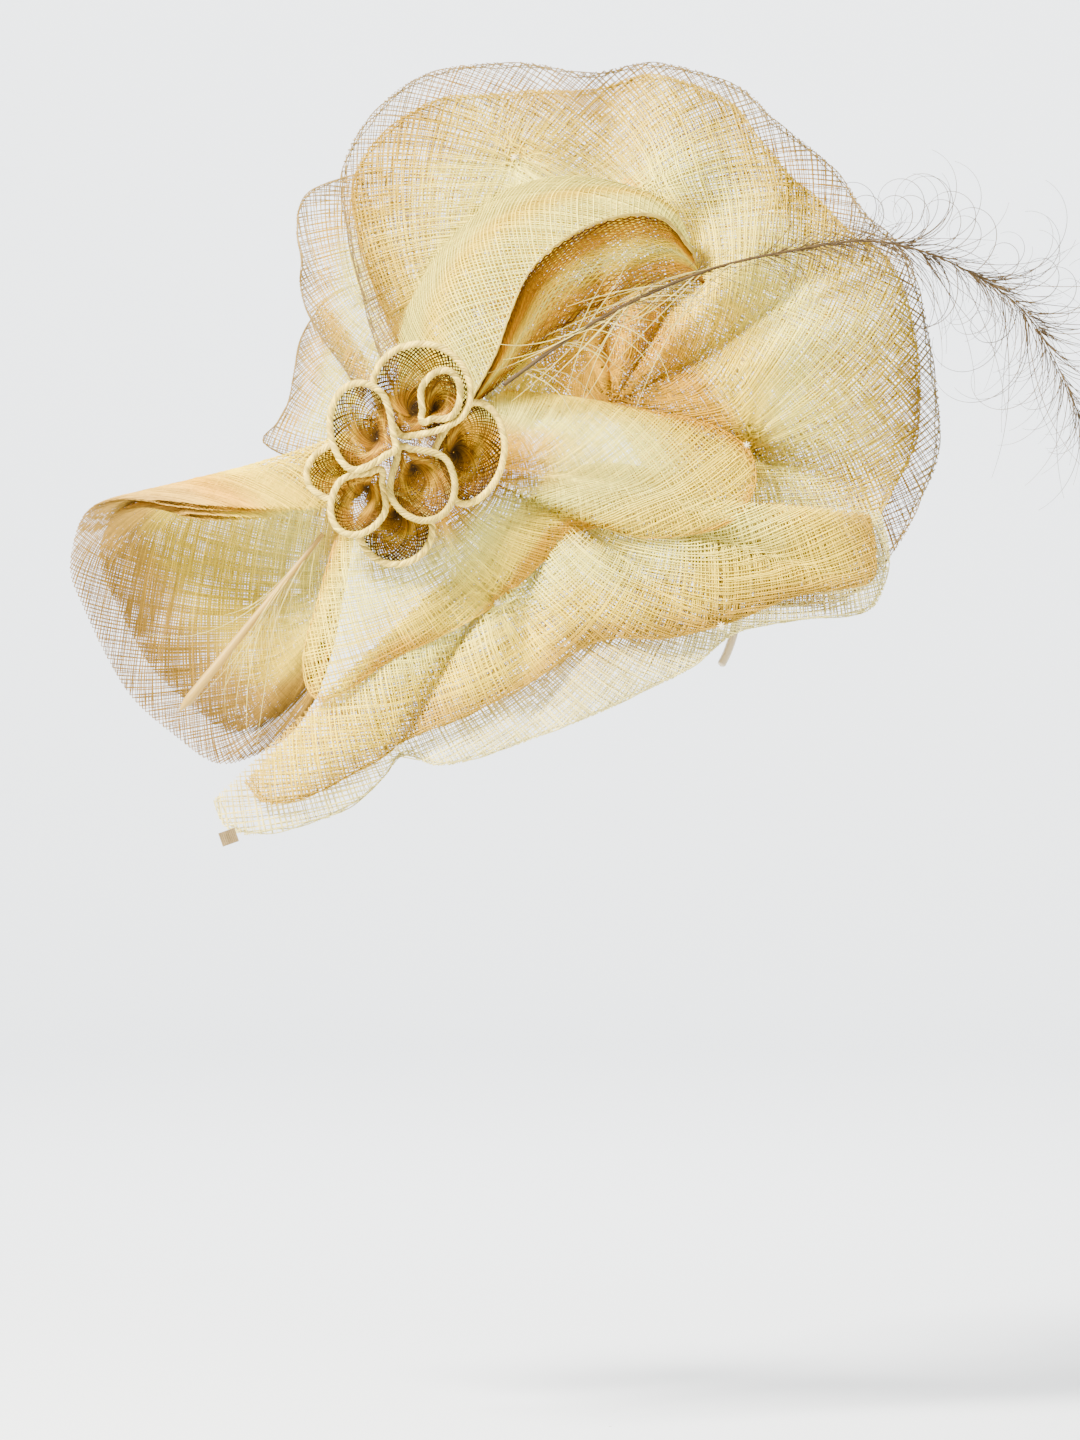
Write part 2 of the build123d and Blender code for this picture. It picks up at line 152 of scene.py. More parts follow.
class Tubes:
    """Gathers many thin tubes into one mesh."""

    def __init__(self):
        self.verts, self.quads, self.uvs, self.faces, self.tones = [], [], [], [], []
        self.count = 0

    def add(self, rings, normals, radius, valid=None, uv=None, sides=3):
        """rings: K tubes of N points, with the way their section's first side faces."""
        if rings.ndim == 2:
            rings, normals = rings[None], normals[None]
        k, n, _ = rings.shape
        tangent = unit(np.gradient(rings, axis=1))
        across = unit(np.cross(tangent, normals))
        up = np.cross(across, tangent)
        r = np.broadcast_to(np.asarray(radius, float), (k, n))[..., None, None]
        a = np.arange(sides) * 2 * pi / sides + pi / 2
        ring = up[:, :, None] * np.sin(a)[:, None] + across[:, :, None] * np.cos(a)[:, None]
        points = rings[:, :, None] + ring * r
        index = self.count + np.arange(k * n * sides).reshape(k, n, sides)
        quads = ring_quads(index, 2)
        if valid is not None:
            quads = quads[valid[:, :-1] & valid[:, 1:]]
        self.verts.append(points.reshape(-1, 3))
        self.faces.append(np.broadcast_to(up[:, :, None], points.shape).reshape(-1, 3))
        tone = RNG.random((k, 1, 1))
        self.tones.append(np.broadcast_to(tone, (k, n, sides)).reshape(-1))
        self.quads.append(quads.reshape(-1, 4))
        if uv is None:
            uv = np.zeros((k, n, 2))
            uv[..., 0] = np.linspace(0, 1, n)
            uv[..., 1] = (np.arange(k)[:, None] + 0.5) / k
        spread = np.linspace(-1, 1, sides)[None, None, :, None] * np.array([0.0005, 0.0009])
        self.uvs.append((uv[:, :, None] + spread).reshape(-1, 2))
        self.count += k * n * sides

    def build(self, name):
        verts, quads = np.concatenate(self.verts), np.concatenate(self.quads)
        uvs = np.clip(np.concatenate(self.uvs), 0, 1)
        used, flat = np.unique(quads, return_inverse=True)
        faces, tones = np.concatenate(self.faces)[used], np.concatenate(self.tones)[used]
        return make_mesh(name, verts[used], flat.reshape(-1, 4), uvs[used], faces, tones)


def normal_of(surface, u, s):
    e = 0.002
    du = surface(u + e, s) - surface(u - e, s)
    ds = surface(u, np.clip(s + e, 0, 1)) - surface(u, np.clip(s - e, 0, 1))
    return unit(np.cross(du, ds))


def metric(surface, u, s, along):
    """How many millimetres the surface covers for each unit of u, or of s."""
    e = 0.004
    if along:
        low, high = u - e, u + e
        d = surface(high, s) - surface(low, s)
        return np.linalg.norm(d, axis=-1) / (high - low)
    low, high = np.clip(s - e, 0, 1), np.clip(s + e, 0, 1)
    return np.linalg.norm(surface(u, high) - surface(u, low), axis=-1) / (high - low)


def trace(surface, start, way, n, slant, closed):
    """Where threads that start at the rim cross each row, keeping their slant on the cloth."""
    hold = (lambda u: u) if closed else (lambda u: np.clip(u, 0.005, 0.995))
    rows = [start]
    for k in range(n):
        s = np.full_like(start, k / n)
        u = rows[-1]
        for last in (False, True):
            at = hold(u)
            wide = np.maximum(metric(surface, at, s, True), 20.0)
            rate = way * slant * metric(surface, at, s, False) / wide
            u = rows[-1] + rate / n * (1.0 if last else 0.5)
            s = s + (0 if last else 0.5 / n)
        rows.append(u)
    return np.stack(rows, axis=1)


def lattice(surface, length, depth, pitch=2.6, side=0.62, gap=2.0, step=5.5, folded=True,
            slant=1.0, closed=False, tubes=None, thin=(0.52, 0.27, 0.13)):
    """Open-weave cloth on the bias over surface(u, s), as threads in both directions.

    length and depth are the surface's, gap the distance between a folded strip's layers and
    slant how far the threads lean along the strip. Where the cloth draws in to each share in
    thin, half of the threads left end.
    """
    tubes = tubes or Tubes()
    n = max(4, int(depth * sqrt(1 + slant * slant) / step))
    apart = pitch * sqrt(1 + slant * slant)
    reach = 0.0 if closed else 3.0 * slant * depth
    start = np.arange(-reach, length + reach, apart)
    start = (start + RNG.normal(0, 0.08 * pitch, len(start))) / length
    ways = {way: trace(surface, start, way, n, slant, closed) for way in (-1, 1)}
    v = np.linspace(0, 1, n + 1)
    for way in (-1, 1):
        u = ways[way]
        if folded:
            u = np.concatenate([ways[-way][:, :0:-1], u], axis=1)
        w = np.concatenate([-v[:0:-1], v]) if folded else v
        k, m = u.shape
        u = u + RNG.normal(0, 0.10 * pitch, (k, m)).cumsum(axis=1) * 0.25 / length
        s = np.broadcast_to(np.abs(w), (k, m))
        valid = np.ones_like(u, bool) if closed else (u >= 0) & (u <= 1)
        keep = valid.sum(axis=1) >= 2
        order = np.arange(k)[keep]
        u, s, valid = u[keep], s[keep], valid[keep]
        k = len(u)
        uc = u if closed else np.clip(u, 0, 1)
        inside = uc if closed else np.clip(uc, 0.005, 0.995)
        drawn = metric(surface, inside, s, True) / np.maximum(metric(surface, inside, 0 * s, True), 1e-6)
        for level, share in enumerate(thin, 1):
            leaves = (order % 2 ** level == 2 ** (level - 1))[:, None]
            valid &= ~(leaves & (drawn < share * RNG.uniform(0.85, 1.1, (k, 1))))
        p = surface(uc, s)
        nrm = normal_of(surface, inside, np.clip(s, 0.004, 0.996))
        out = (np.sign(w) * gap * (1 - np.exp(-np.abs(w) * depth / 5.0)))[None, :] if folded else 0 * s
        out = out + way * side * 0.28 + RNG.normal(0, 0.09, (k, m))
        p = p + nrm * out[..., None]
        width = side * RNG.uniform(0.75, 1.25, (k, 1)) / sqrt(3)
        slub = 1 + 0.35 * (RNG.random((k, m)) < 0.03)
        across = w * 0.5 + 0.5 if folded else w
        uv = np.stack([uc % 1.0 if closed else uc, across[None, :] + 0 * uc], axis=-1)
        tubes.add(p, nrm, width * slub, valid, uv)
    return tubes


def spirals(frill, centre, pitch=2.3, side=0.6, gap=1.8, step=5.0, slant=1.0, thin=(0.44, 0.21, 0.1)):
    """Open-weave cloth over a frill: threads of both directions cross at right angles all over.

    Threads wind out from centre, at an even slant to the line from it, as they do in cloth on
    the bias that is gathered there. As they spread, more threads come in between them.
    """
    tubes = Tubes()
    cx, cz = centre
    far = frill.farthest(cx, cz)
    r = [far]
    while r[-1] > 1.0:
        r.append(r[-1] - max(0.25, step / sqrt(2) * min(1.0, r[-1] / 28.0)))
    r = np.array(r)
    count = 8 * int(2 * pi * far / (pitch * 1.4 * sqrt(2)) / 8)
    for level, layer in enumerate((-1, 1)):
        for way in (-1, 1):
            turn = (np.arange(count) + 0.5 * level) * 2 * pi / count
            turn = turn + RNG.normal(0, 0.12, count) * 2 * pi / count
            a = turn[:, None] + way * (slant + 0.13 * level) * np.log(far / r)[None, :]
            a = a + RNG.normal(0, 0.07, a.shape).cumsum(axis=1) * pitch / far
            x, z = cx + r * np.cos(a), cz + r * np.sin(a)
            u, s, inside = frill.locate(x, z)
            # a point just outside moves back to where its thread leaves the cloth
            ok = inside > 0
            for shift in (-1, 1):
                near, g = np.roll(ok, shift, 1), np.roll(inside, shift, 1)
                near[:, -1 if shift < 0 else 0] = False
                ends = ~ok & near
                f = np.where(ends, inside / np.where(ends, inside - g, 1.0), 0.0)
                x = x + f * (np.roll(x, shift, 1) - x)
                z = z + f * (np.roll(z, shift, 1) - z)
                ok = ok | ends
            order = np.arange(count)
            for stage_, share in enumerate(thin, 1):
                leaves = (order % 2 ** stage_ == 2 ** (stage_ - 1))[:, None]
                ok &= ~(leaves & (r / far < share * RNG.uniform(0.8, 1.15, (count, 1))))
            keep = (ok[:, :-1] & ok[:, 1:]).any(axis=1)
            x, z, ok = x[keep], z[keep], ok[keep]
            u, s, inside = frill.locate(x, z)
            s = np.clip(s, 0, 1)
            p = frill(u, s)
            nrm = normal_of(frill, np.clip(u, 0.003, 0.997), np.clip(s, 0.004, 0.996))
            out = layer * gap * (1 - np.exp(-s * frill.depth_of(u) / 5.0))
            out = out + way * side * 0.28 + RNG.normal(0, 0.08, s.shape)
            width = side * RNG.uniform(0.72, 1.25, (len(x), 1)) / sqrt(3)
            slub = 1 + 0.35 * (RNG.random(s.shape) < 0.03)
            uv = np.stack([np.clip(u, 0, 1), 0.5 + layer * s * 0.5], axis=-1)
            tubes.add(p + nrm * out[..., None], nrm, width * slub, ok, uv)
    # the fold along the rim, where the threads turn and lie side by side
    m = int(frill.edge.length / 3)
    t = np.linspace(0, 1, m)
    for strand in range(3):
        q = strand * 2.1
        inset = 0.006 + 0.006 * np.sin(t * m / 2.3 + q)
        p = frill(t, np.clip(inset + 0.003 * strand, 0, 1))
        p = p + AWAY * (0.4 * np.cos(t * m / 1.9 + q))[:, None]
        uv = np.stack([t, 0.5 + 0 * t], axis=-1)[None]
        tubes.add(p, facing(m), side / sqrt(3), None, uv)
    return tubes


# ---- materials
def rgb(r, g, b):
    """A colour from the 0 to 255 values that are seen on a screen."""
    return tuple(((c / 255) / 12.92 if c <= 10 else (((c / 255) + 0.055) / 1.055) ** 2.4)
                 for c in (r, g, b)) + (1.0,)


def new_material(name, rough=0.6, sheen=0.0, spec=0.35):
    mat = bpy.data.materials.new(name)
    mat.use_nodes = True
    bsdf = mat.node_tree.nodes["Principled BSDF"]
    bsdf.inputs["Roughness"].default_value = rough
    bsdf.inputs["Sheen Weight"].default_value = sheen
    bsdf.inputs["Specular IOR Level"].default_value = spec
    return mat, mat.node_tree.links, bsdf


def add_node(mat, kind, feeds=(), **settings):
    """A shader node with its settings; feeds pairs an input with a value or with an output."""
    node = mat.node_tree.nodes.new("ShaderNode" + kind)
    for key, value in settings.items():
        setattr(node, key, value)
    for key, value in feeds:
        if isinstance(value, bpy.types.NodeSocket):
            mat.node_tree.links.new(value, node.inputs[key])
        else:
            node.inputs[key].default_value = value
    return node


def times(mat, a, b, factor=1.0):
    """Colour a multiplied with b."""
    return add_node(mat, "Mix", [("Factor", factor), ("A", a), ("B", b)],
                    data_type="RGBA", blend_type="MULTIPLY").outputs["Result"]


def add_tone(mat, colour, low, high):
    """Colour made lighter or darker thread by thread."""
    tone = add_node(mat, "Attribute", attribute_name="thread_tone")
    spread = add_node(mat, "MapRange", [("To Min", low), ("To Max", high), ("Value", tone.outputs["Fac"])])
    return times(mat, colour, spread.outputs["Result"])


def fill_ramp(ramp, stops):
    ramp.color_ramp.interpolation = "EASE"
    while len(ramp.color_ramp.elements) < len(stops):
        ramp.color_ramp.elements.new(0.5)
    for element, (at, colour) in zip(ramp.color_ramp.elements, stops):
        element.position = at
        element.color = rgb(*colour)


def cloth_material(name, stops, patch=(0.35, 14.0), along=None, tones=(0.72, 1.14)):
    """Straw cloth whose colour runs through stops from rim to root, with soft uneven dye; in some cloths the
    darkest stops are painted shade.
    """
    mat, links, bsdf = new_material(name, rough=0.55, sheen=0.0, spec=0.1)

    def math(operation, *values, clamp=False):
        return add_node(mat, "Math", enumerate(values), operation=operation, use_clamp=clamp).outputs[0]

    uv = add_node(mat, "UVMap", uv_map="OFBake")
    parts = add_node(mat, "SeparateXYZ", [(0, uv.outputs[0])])
    coords = add_node(mat, "TexCoord").outputs["Object"]
    # how far from rim to root, with an uneven drift
    depth = math("MULTIPLY", math("ABSOLUTE", math("SUBTRACT", parts.outputs["Y"], 0.5)), 2.0)
    noise = add_node(mat, "TexNoise", [("Scale", patch[1]), ("Detail", 3.0), ("Vector", coords)])
    drift = math("MULTIPLY_ADD", noise.outputs["Fac"], patch[0], depth)
    back = math("SUBTRACT", drift, patch[0] / 2)
    ramp = add_node(mat, "ValToRGB", [("Fac", back)])
    fill_ramp(ramp, stops)
    fine = add_node(mat, "TexNoise", [("Scale", 420.0), ("Vector", coords)])
    shade = add_node(mat, "MapRange", [("From Min", 0.3), ("From Max", 0.7), ("To Min", 0.86),
                                       ("To Max", 1.08), ("Value", fine.outputs["Fac"])])
    colour = times(mat, ramp.outputs["Color"], shade.outputs["Result"])
    if along:
        dye = add_node(mat, "ValToRGB", [("Fac", parts.outputs["X"])])
        fill_ramp(dye, along)
        fade = math("MULTIPLY_ADD", back, -1.6, 1.0, clamp=True)
        colour = times(mat, colour, dye.outputs["Color"], fade)
    links.new(add_tone(mat, colour, *tones), bsdf.inputs["Base Color"])

    # each thread is lit mostly by the way the cloth faces there, on its own side of the cloth
    side = add_node(mat, "Attribute", attribute_name="cloth_side").outputs["Vector"]
    geometry = add_node(mat, "NewGeometry")
    dot = add_node(mat, "VectorMath", [(0, geometry.outputs["True Normal"]), (1, side)],
                   operation="DOT_PRODUCT")
    sign = math("SIGN", dot.outputs["Value"])
    turned = add_node(mat, "VectorMath", [(0, side), ("Scale", sign)], operation="SCALE")
    total = add_node(mat, "VectorMath", [(0, geometry.outputs["Normal"]), (1, (0.75, 0.75, 0.75)),
                                         (2, turned.outputs[0])], operation="MULTIPLY_ADD")
    level = add_node(mat, "VectorMath", [(0, total.outputs[0])], operation="NORMALIZE")
    links.new(level.outputs[0], bsdf.inputs["Normal"])
    return mat


def plain_material(name, colour, rough=0.6, spread=0.12, scale=160.0, sheen=0.0, spec=0.35,
                   stretch=None, tones=None):
    """A single colour with fine uneven shade."""
    mat, links, bsdf = new_material(name, rough, sheen, spec)
    where = add_node(mat, "TexCoord").outputs["Object"]
    if stretch:
        where = add_node(mat, "Mapping", [("Scale", stretch), ("Vector", where)]).outputs[0]
    noise = add_node(mat, "TexNoise", [("Scale", scale), ("Detail", 4.0), ("Vector", where)])
    ramp = add_node(mat, "ValToRGB", [("Fac", noise.outputs["Fac"])])
    for element, at, change in zip(ramp.color_ramp.elements, (0.3, 0.7), (1 - spread, 1 + spread)):
        element.position = at
        element.color = tuple(min(1, c * change) for c in rgb(*colour)[:3]) + (1,)
    shown = ramp.outputs["Color"]
    links.new(add_tone(mat, shown, *tones) if tones else shown, bsdf.inputs["Base Color"])
    return mat


CREAM, PALE, GOLD = (255, 218, 52), (255, 238, 108), (226, 166, 18)
TAN, DEEP, GREY = (160, 118, 28), (130, 80, 4), (136, 112, 62)
TINT, LIP_TAN, CLEAR = (218, 204, 138), (172, 166, 138), (255, 255, 255)

# fan: the tan rim stops and the along tints are the cloth's own dye; the gold to dark gold-brown stops
# towards the root are painted shade near the hub, under the swirl
FAN_DYE_AND_SHADE_CLOTH = cloth_material("sinamay_fan", [
    (0.0, (184, 150, 42)), (0.12, (228, 196, 62)), (0.3, PALE), (0.55, CREAM), (0.72, GOLD),
    (1.0, (160, 108, 14))], (0.55, 11.0), [
    (0.0, CLEAR), (0.08, TINT), (0.24, TINT), (0.31, CLEAR), (0.40, (246, 234, 196)), (0.49, CLEAR),
    (0.57, TINT), (0.66, CLEAR), (0.78, TINT), (0.88, CLEAR)])
RIM_CLOTH = cloth_material("sinamay_fan_rim", [
    (0.0, GREY), (0.12, TAN), (0.3, GOLD), (0.5, CREAM)], (0.3, 11.0))
LOBE_CLOTH = cloth_material("sinamay_back", [(0.0, (168, 138, 74)), (0.22, (236, 190, 60)), (0.5, PALE)])
BRIM_CLOTH = cloth_material("sinamay_brim", [
    (0.0, (250, 232, 140)), (0.3, (216, 172, 54)), (0.6, CREAM), (0.9, PALE)])
TOP_CLOTH = cloth_material("sinamay_brim_top", [
    (0.0, (204, 158, 42)), (0.2, CREAM), (0.5, PALE), (0.9, GOLD)])
FRONT_CLOTH = cloth_material("sinamay_front", [
    (0.0, GOLD), (0.1, CREAM), (0.45, PALE), (0.8, GOLD)], (0.5, 16.0))
SWIRL_CLOTH = cloth_material("sinamay_swirl", [(0.0, CREAM), (0.4, PALE), (1.0, PALE)])
# swirl hollow: the stops falling from gold to near-black brown are painted shade inside the hollow
HOLLOW_SHADE_CLOTH = cloth_material("sinamay_hollow", [
    (0.0, PALE), (0.18, CREAM), (0.45, (196, 134, 10)), (1.0, (92, 54, 0))], (0.2, 14.0))
TRUMPET_CLOTH = cloth_material("sinamay_trumpet", [
    (0.0, (190, 148, 66)), (0.2, (210, 164, 62)), (0.38, GOLD), (0.6, CREAM)],
    along=[(0.0, LIP_TAN), (0.6, LIP_TAN), (0.8, CLEAR)])
LINING_CLOTH = cloth_material("sinamay_lining", [
    (0.0, (190, 146, 56)), (0.14, (206, 160, 56)), (0.3, CREAM), (0.7, PALE), (1.0, GOLD)],
    along=[(0.0, LIP_TAN), (0.6, LIP_TAN), (0.8, CLEAR)])
# petal cups and flower backing: the stops falling to near-black brown are painted shade inside the cups and
# behind them
PETAL_SHADE_CLOTH = cloth_material("sinamay_petal", [
    (0.0, (198, 150, 28)), (0.35, (140, 94, 6)), (1.0, (52, 32, 0))], tones=(0.45, 1.7))
BASE_CLOTH = cloth_material("sinamay_base", [(0.0, (214, 170, 70)), (1.0, (222, 178, 80))])
EDGE_CORD = plain_material("rolled_edge", (244, 204, 88), 0.55, 0.25, 420, spec=0.15, tones=(0.5, 1.25))
# binding tape colour; on the edging end's tab the same grey-brown is painted shade
BINDING_AND_TAB_SHADE = plain_material("binding", (134, 112, 72), 0.7, 0.18, 300)
THREAD = plain_material("sewing_thread", (246, 228, 170), 0.5, 0.08, 300)
SATIN = plain_material("satin", (178, 160, 122), 0.33, 0.06, 90, sheen=0.3, spec=0.5)
FEATHER = plain_material("feather", (92, 72, 42), 0.55, 0.3, 60, spec=0.2, tones=(0.5, 1.5))
STRAND = plain_material("feather_strand", (250, 220, 120), 0.5, 0.2, 60, spec=0.2, tones=(0.6, 1.1))
QUILL = plain_material("quill", (186, 148, 64), 0.35, 0.16, 40, spec=0.4, stretch=(1, 1, 0.3))
STEEL = plain_material("spring_steel", (170, 170, 172), 0.3, 0.05, 200)
STEEL.node_tree.nodes["Principled BSDF"].inputs["Metallic"].default_value = 1.0


def finish_piece(obj, mat, nodes, body="headpiece"):
    obj.data.materials.append(mat)
    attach(obj, body)
    if nodes:
        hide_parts(*nodes)
    return obj


def finish_tubes(tubes, name, mat, nodes, body="headpiece"):
    return finish_piece(tubes.build(name), mat, nodes, body)


# ---- frills
class Frill:
    """A gathered strip: edge points (x, z, forward) round a hub, as the frame's frills are."""

    def __init__(self, edge, hub, root_r, layer, swell, set_back=0.0, tucks=(), lobes=(), ripple=0.0,
                 bulge=0.0):
        self.edge, self.hub = Line(edge), np.array(hub, float)
        self.set_back = set_back
        lobes = [self.edge.share_of(i / (len(edge) - 1)) for i in lobes]
        self.root_r, self.layer, self.swell = root_r, layer, swell
        self.tucks, self.lobes = tucks, lobes
        self.ripple, self.bulge = ripple, bulge

        self.shares = np.linspace(0, 1, 1201)
        flat = self.edge.at(self.shares)[:, :2] - self.hub[:2]
        self.turns = np.unwrap(np.arctan2(flat[:, 1], flat[:, 0]))
        self.reaches = np.linalg.norm(flat, axis=1) - self.set_in(self.shares)
        if self.turns[-1] < self.turns[0]:
            self.order = slice(None, None, -1)
        else:
            self.order = slice(None)
        self.sorted_turns = np.maximum.accumulate(self.turns[self.order])

    def set_in(self, u):
        """How far in from the under layer's rim this layer's rim lies."""
        return self.set_back * (1 + 0.35 * np.sin(u * 23 + 1.0))

    def farthest(self, cx, cz):
        p = self.edge.at(self.shares)[:, :2]
        return float(np.hypot(p[:, 0] - cx, p[:, 1] - cz).max())

    def depth_of(self, u):
        return np.interp(u, self.shares, self.reaches)

    def locate(self, x, z):
        """(u, s) of the cloth at x and z, and how far inside the cloth that is."""
        dx, dz = x - self.hub[0], z - self.hub[1]
        low, high = self.sorted_turns[0], self.sorted_turns[-1]
        middle = (low + high) / 2
        a = np.arctan2(dz, dx)
        a = middle + (a - middle + pi) % (2 * pi) - pi
        r = np.hypot(dx, dz)
        u = np.interp(a, self.sorted_turns, self.shares[self.order])
        reach = np.interp(a, self.sorted_turns, self.reaches[self.order])
        s = (reach - r) / np.maximum(reach - self.root_r, 1.0)
        inside = np.minimum(reach - r, r - self.root_r)
        inside = np.minimum(inside, np.minimum(a - low, high - a) * np.maximum(r, 1.0))
        return u, s, inside

    def __call__(self, u, s):
        u, s = both(u, s)
        rim = self.edge.at(u)
        flat = rim[..., :2] - self.hub[:2]
        reach = np.linalg.norm(flat, axis=-1)[..., None]
        cut = self.set_in(u)[..., None] / reach
        rim = rim + (self.hub - rim) * cut
        share = self.root_r / (reach * (1 - cut))
        goal = np.concatenate([rim[..., :2], np.full_like(reach, self.hub[2])], axis=-1)
        root = self.hub + (goal - self.hub) * share
        p = rim + (root - rim) * s[..., None]
        x, z, forward = p[..., 0], p[..., 1], p[..., 2]
        forward = forward + self.layer + self.swell * np.sin(pi * s)
        # valleys run in from the rim at the lobes' ends, and the cloth bulges between them
        if self.lobes:
            ends = np.array(self.lobes)
            near = np.abs(u[..., None] - ends).min(axis=-1)
            valley = np.exp(-(near / 0.032) ** 2)
            forward = forward + self.bulge * (1 - 1.7 * valley) * np.sin(pi * np.clip(s, 0, 1) ** 0.75)
        if self.ripple:
            phase = u * self.edge.length / 15.0
            small = np.sin(phase) * 0.6 + np.sin(phase * 1.73 + 1.1) * 0.4
            forward = forward + self.ripple * small * (1 - s) ** 0.5 * np.clip(s * 6 + 0.35, 0, 1)
        for tx, tz, pull, width, dent in self.tucks:
            dx, dz = x - tx, z - tz
            d = np.sqrt(dx * dx + dz * dz)
            w = np.exp(-((d / width) ** 2))
            angle = np.arctan2(dz, dx)
            forward = forward - dent * w + 0.9 * w * np.sin(angle * 11 + tx) * np.clip(d / 8, 0, 1)
            x = x - pull * dx * w
            z = z - pull * dz * w
        return fields(x, z, forward)


FAN_EDGE = [
    (-108, 88, 2), (-130, 136, 4), (-149, 205, 4), (-153, 246, 0), (-136, 280, -4), (-103, 305, -8),
    (-52, 311, -10), (-12, 304, 0), (27, 311, -10), (73, 297, -6), (94, 276, 4),
    (129, 247, -6), (146, 220, 4), (168, 198, 0), (181, 150, -10), (186, 90, -14),
    (174, 56, -8), (160, 30, -2), (134, 2, 2), (94, -4, 6), (52, 4, 8),
]
FAN_HUB = (0, 108, 10)
FAN_TUCKS = [(-54, 252, 0.6, 30, 9), (21, 232, 0.6, 30, 9), (78, 90, 0.6, 34, 9), (100, 232, 0.4, 22, 4)]
FAN_LOBES = [7, 10, 12.5, 16.5]
BRIM_EDGE = [
    (150, 48, 0), (154, 26, 4), (150, 5, 2), (139, -8, -2), (104, -12, 4), (69, -19, -2),
    (44, -38, 4), (16, -52, 6), (-7, -63, 6), (-40, -76, 4), (-74, -88, 2), (-97, -92, 0),
    (-116, -86, -4), (-126, -99, 0), (-144, -115, 4), (-172, -126, 6), (-198, -130, 4),
    (-213, -125, 2), (-219, -111, 0),
]
BRIM_HUB = (-40, 62, 0)
BRIM_TOP_EDGE = [
    (143, 47, 0), (146, 26, 2), (141, 8, 0), (104, 2, 2), (69, -12, -2), (32, -22, 4),
    (-8, -24, 6), (-44, -46, 6), (-82, -66, 4), (-114, -76, 0), (-134, -92, 2),
    (-166, -109, 5), (-189, -113, 3), (-202, -101, 2),
]
FRONT_EDGE = [
    (-58, 117, -8), (-18, 113, -14), (21, 106, -16), (58, 97, -14), (78, 80, -6), (78, 58, 0),
    (62, 40, 3), (21, 33, 2), (-12, 40, -3), (-38, 20, 2), (-63, -4, -2), (-96, -22, 4),
    (-124, -36, 4), (-150, -54, 6), (-165, -54, 6), (-170, -32, 4), (-162, 0, 2),
    (-154, 30, 0),
]
LOBE_EDGE = [
    (-144, 246, -14), (-169, 237, -16), (-178, 226, -20), (-179, 210, -22), (-176, 194, -16),
    (-177, 182, -20), (-173, 166, -20), (-163, 148, -18), (-151, 132, -18), (-141, 114, -18),
]
LEAF_EDGE = [
    (-164, 172, -24), (-176, 152, -25), (-180, 132, -25), (-183, 114, -22), (-189, 101, -16),
    (-197, 91, -10), (-186, 83, -14), (-168, 78, -20), (-150, 76, -26),
]
BRIM_TUCKS = [(-63, -3, 0.5, 22, 5), (60, -15, 0.4, 18, 3), (-116, -85, 0.4, 18, 3)]
FRONT_TUCKS = [(76, 86, 0.35, 16, 2), (-62, 2, 0.35, 16, 2)]

FRILLS = {
    "fan_under": (Frill(FAN_EDGE, FAN_HUB, 0.4, -13, -3, 0, (), FAN_LOBES, 2.0, 16), RIM_CLOTH,
                  dict(centre=(-6, 120), pitch=2.4, side=0.55, gap=1.6, step=6.5)),
    "fan_top": (Frill(FAN_EDGE, FAN_HUB, 0.4, -2, -3, 13.0, FAN_TUCKS, FAN_LOBES, 1.6, 17), FAN_DYE_AND_SHADE_CLOTH,
                dict(centre=(-6, 130), pitch=1.9, side=0.57, gap=1.6, step=5.5, thin=(0.38, 0.17, 0.08))),
    "back_lobe": (Frill(LOBE_EDGE, (-102, 158, -30), 16, -8, -4, 0, (), (), 1.5), LOBE_CLOTH,
                  dict(centre=(-90, 160), pitch=2.1, side=0.54, gap=1.5)),
    "back_leaf": (Frill(LEAF_EDGE, (-122, 118, -28), 18, -14, -3, 0, (), (), 1.0), LOBE_CLOTH,
                  dict(centre=(-110, 130), pitch=2.0, side=0.54, gap=1.0)),
    "brim_under": (Frill(BRIM_EDGE, BRIM_HUB, 2, 10, 3, 0, (), [3, 6, 9, 12], 1.8, 4), BRIM_CLOTH,
                   dict(centre=(-30, 110), pitch=2.3, side=0.6, gap=1.8, step=6)),
    "brim_top": (Frill(BRIM_TOP_EDGE, BRIM_HUB, 2, 20, 5, 0, BRIM_TUCKS, [2, 4.5, 7, 9], 1.4, 5), TOP_CLOTH,
                 dict(centre=(-20, 90), pitch=1.8, side=0.58, gap=1.6, step=5.5)),
    "front_frill": (Frill(FRONT_EDGE, (-105, 81, 4), 12, 30, 4, 0, FRONT_TUCKS, [5.5, 8, 10.5], 1.4, 5),
                    FRONT_CLOTH, dict(centre=(-80, 92), pitch=1.7, side=0.5, gap=2.0, thin=(0.28, 0.12))),
}


def strip_depth(frill):
    """The frill's mean distance from rim to root."""
    u = np.linspace(0, 1, 60)
    return float(np.linalg.norm(frill(u, 0 * u) - frill(u, 0 * u + 1), axis=-1).mean())


for name, (frill, mat, options) in FRILLS.items():
    length, depth = frill.edge.length, strip_depth(frill)
    obj = spirals(frill, **options).build(name + "_cloth")
    finish_piece(obj, mat, [name])

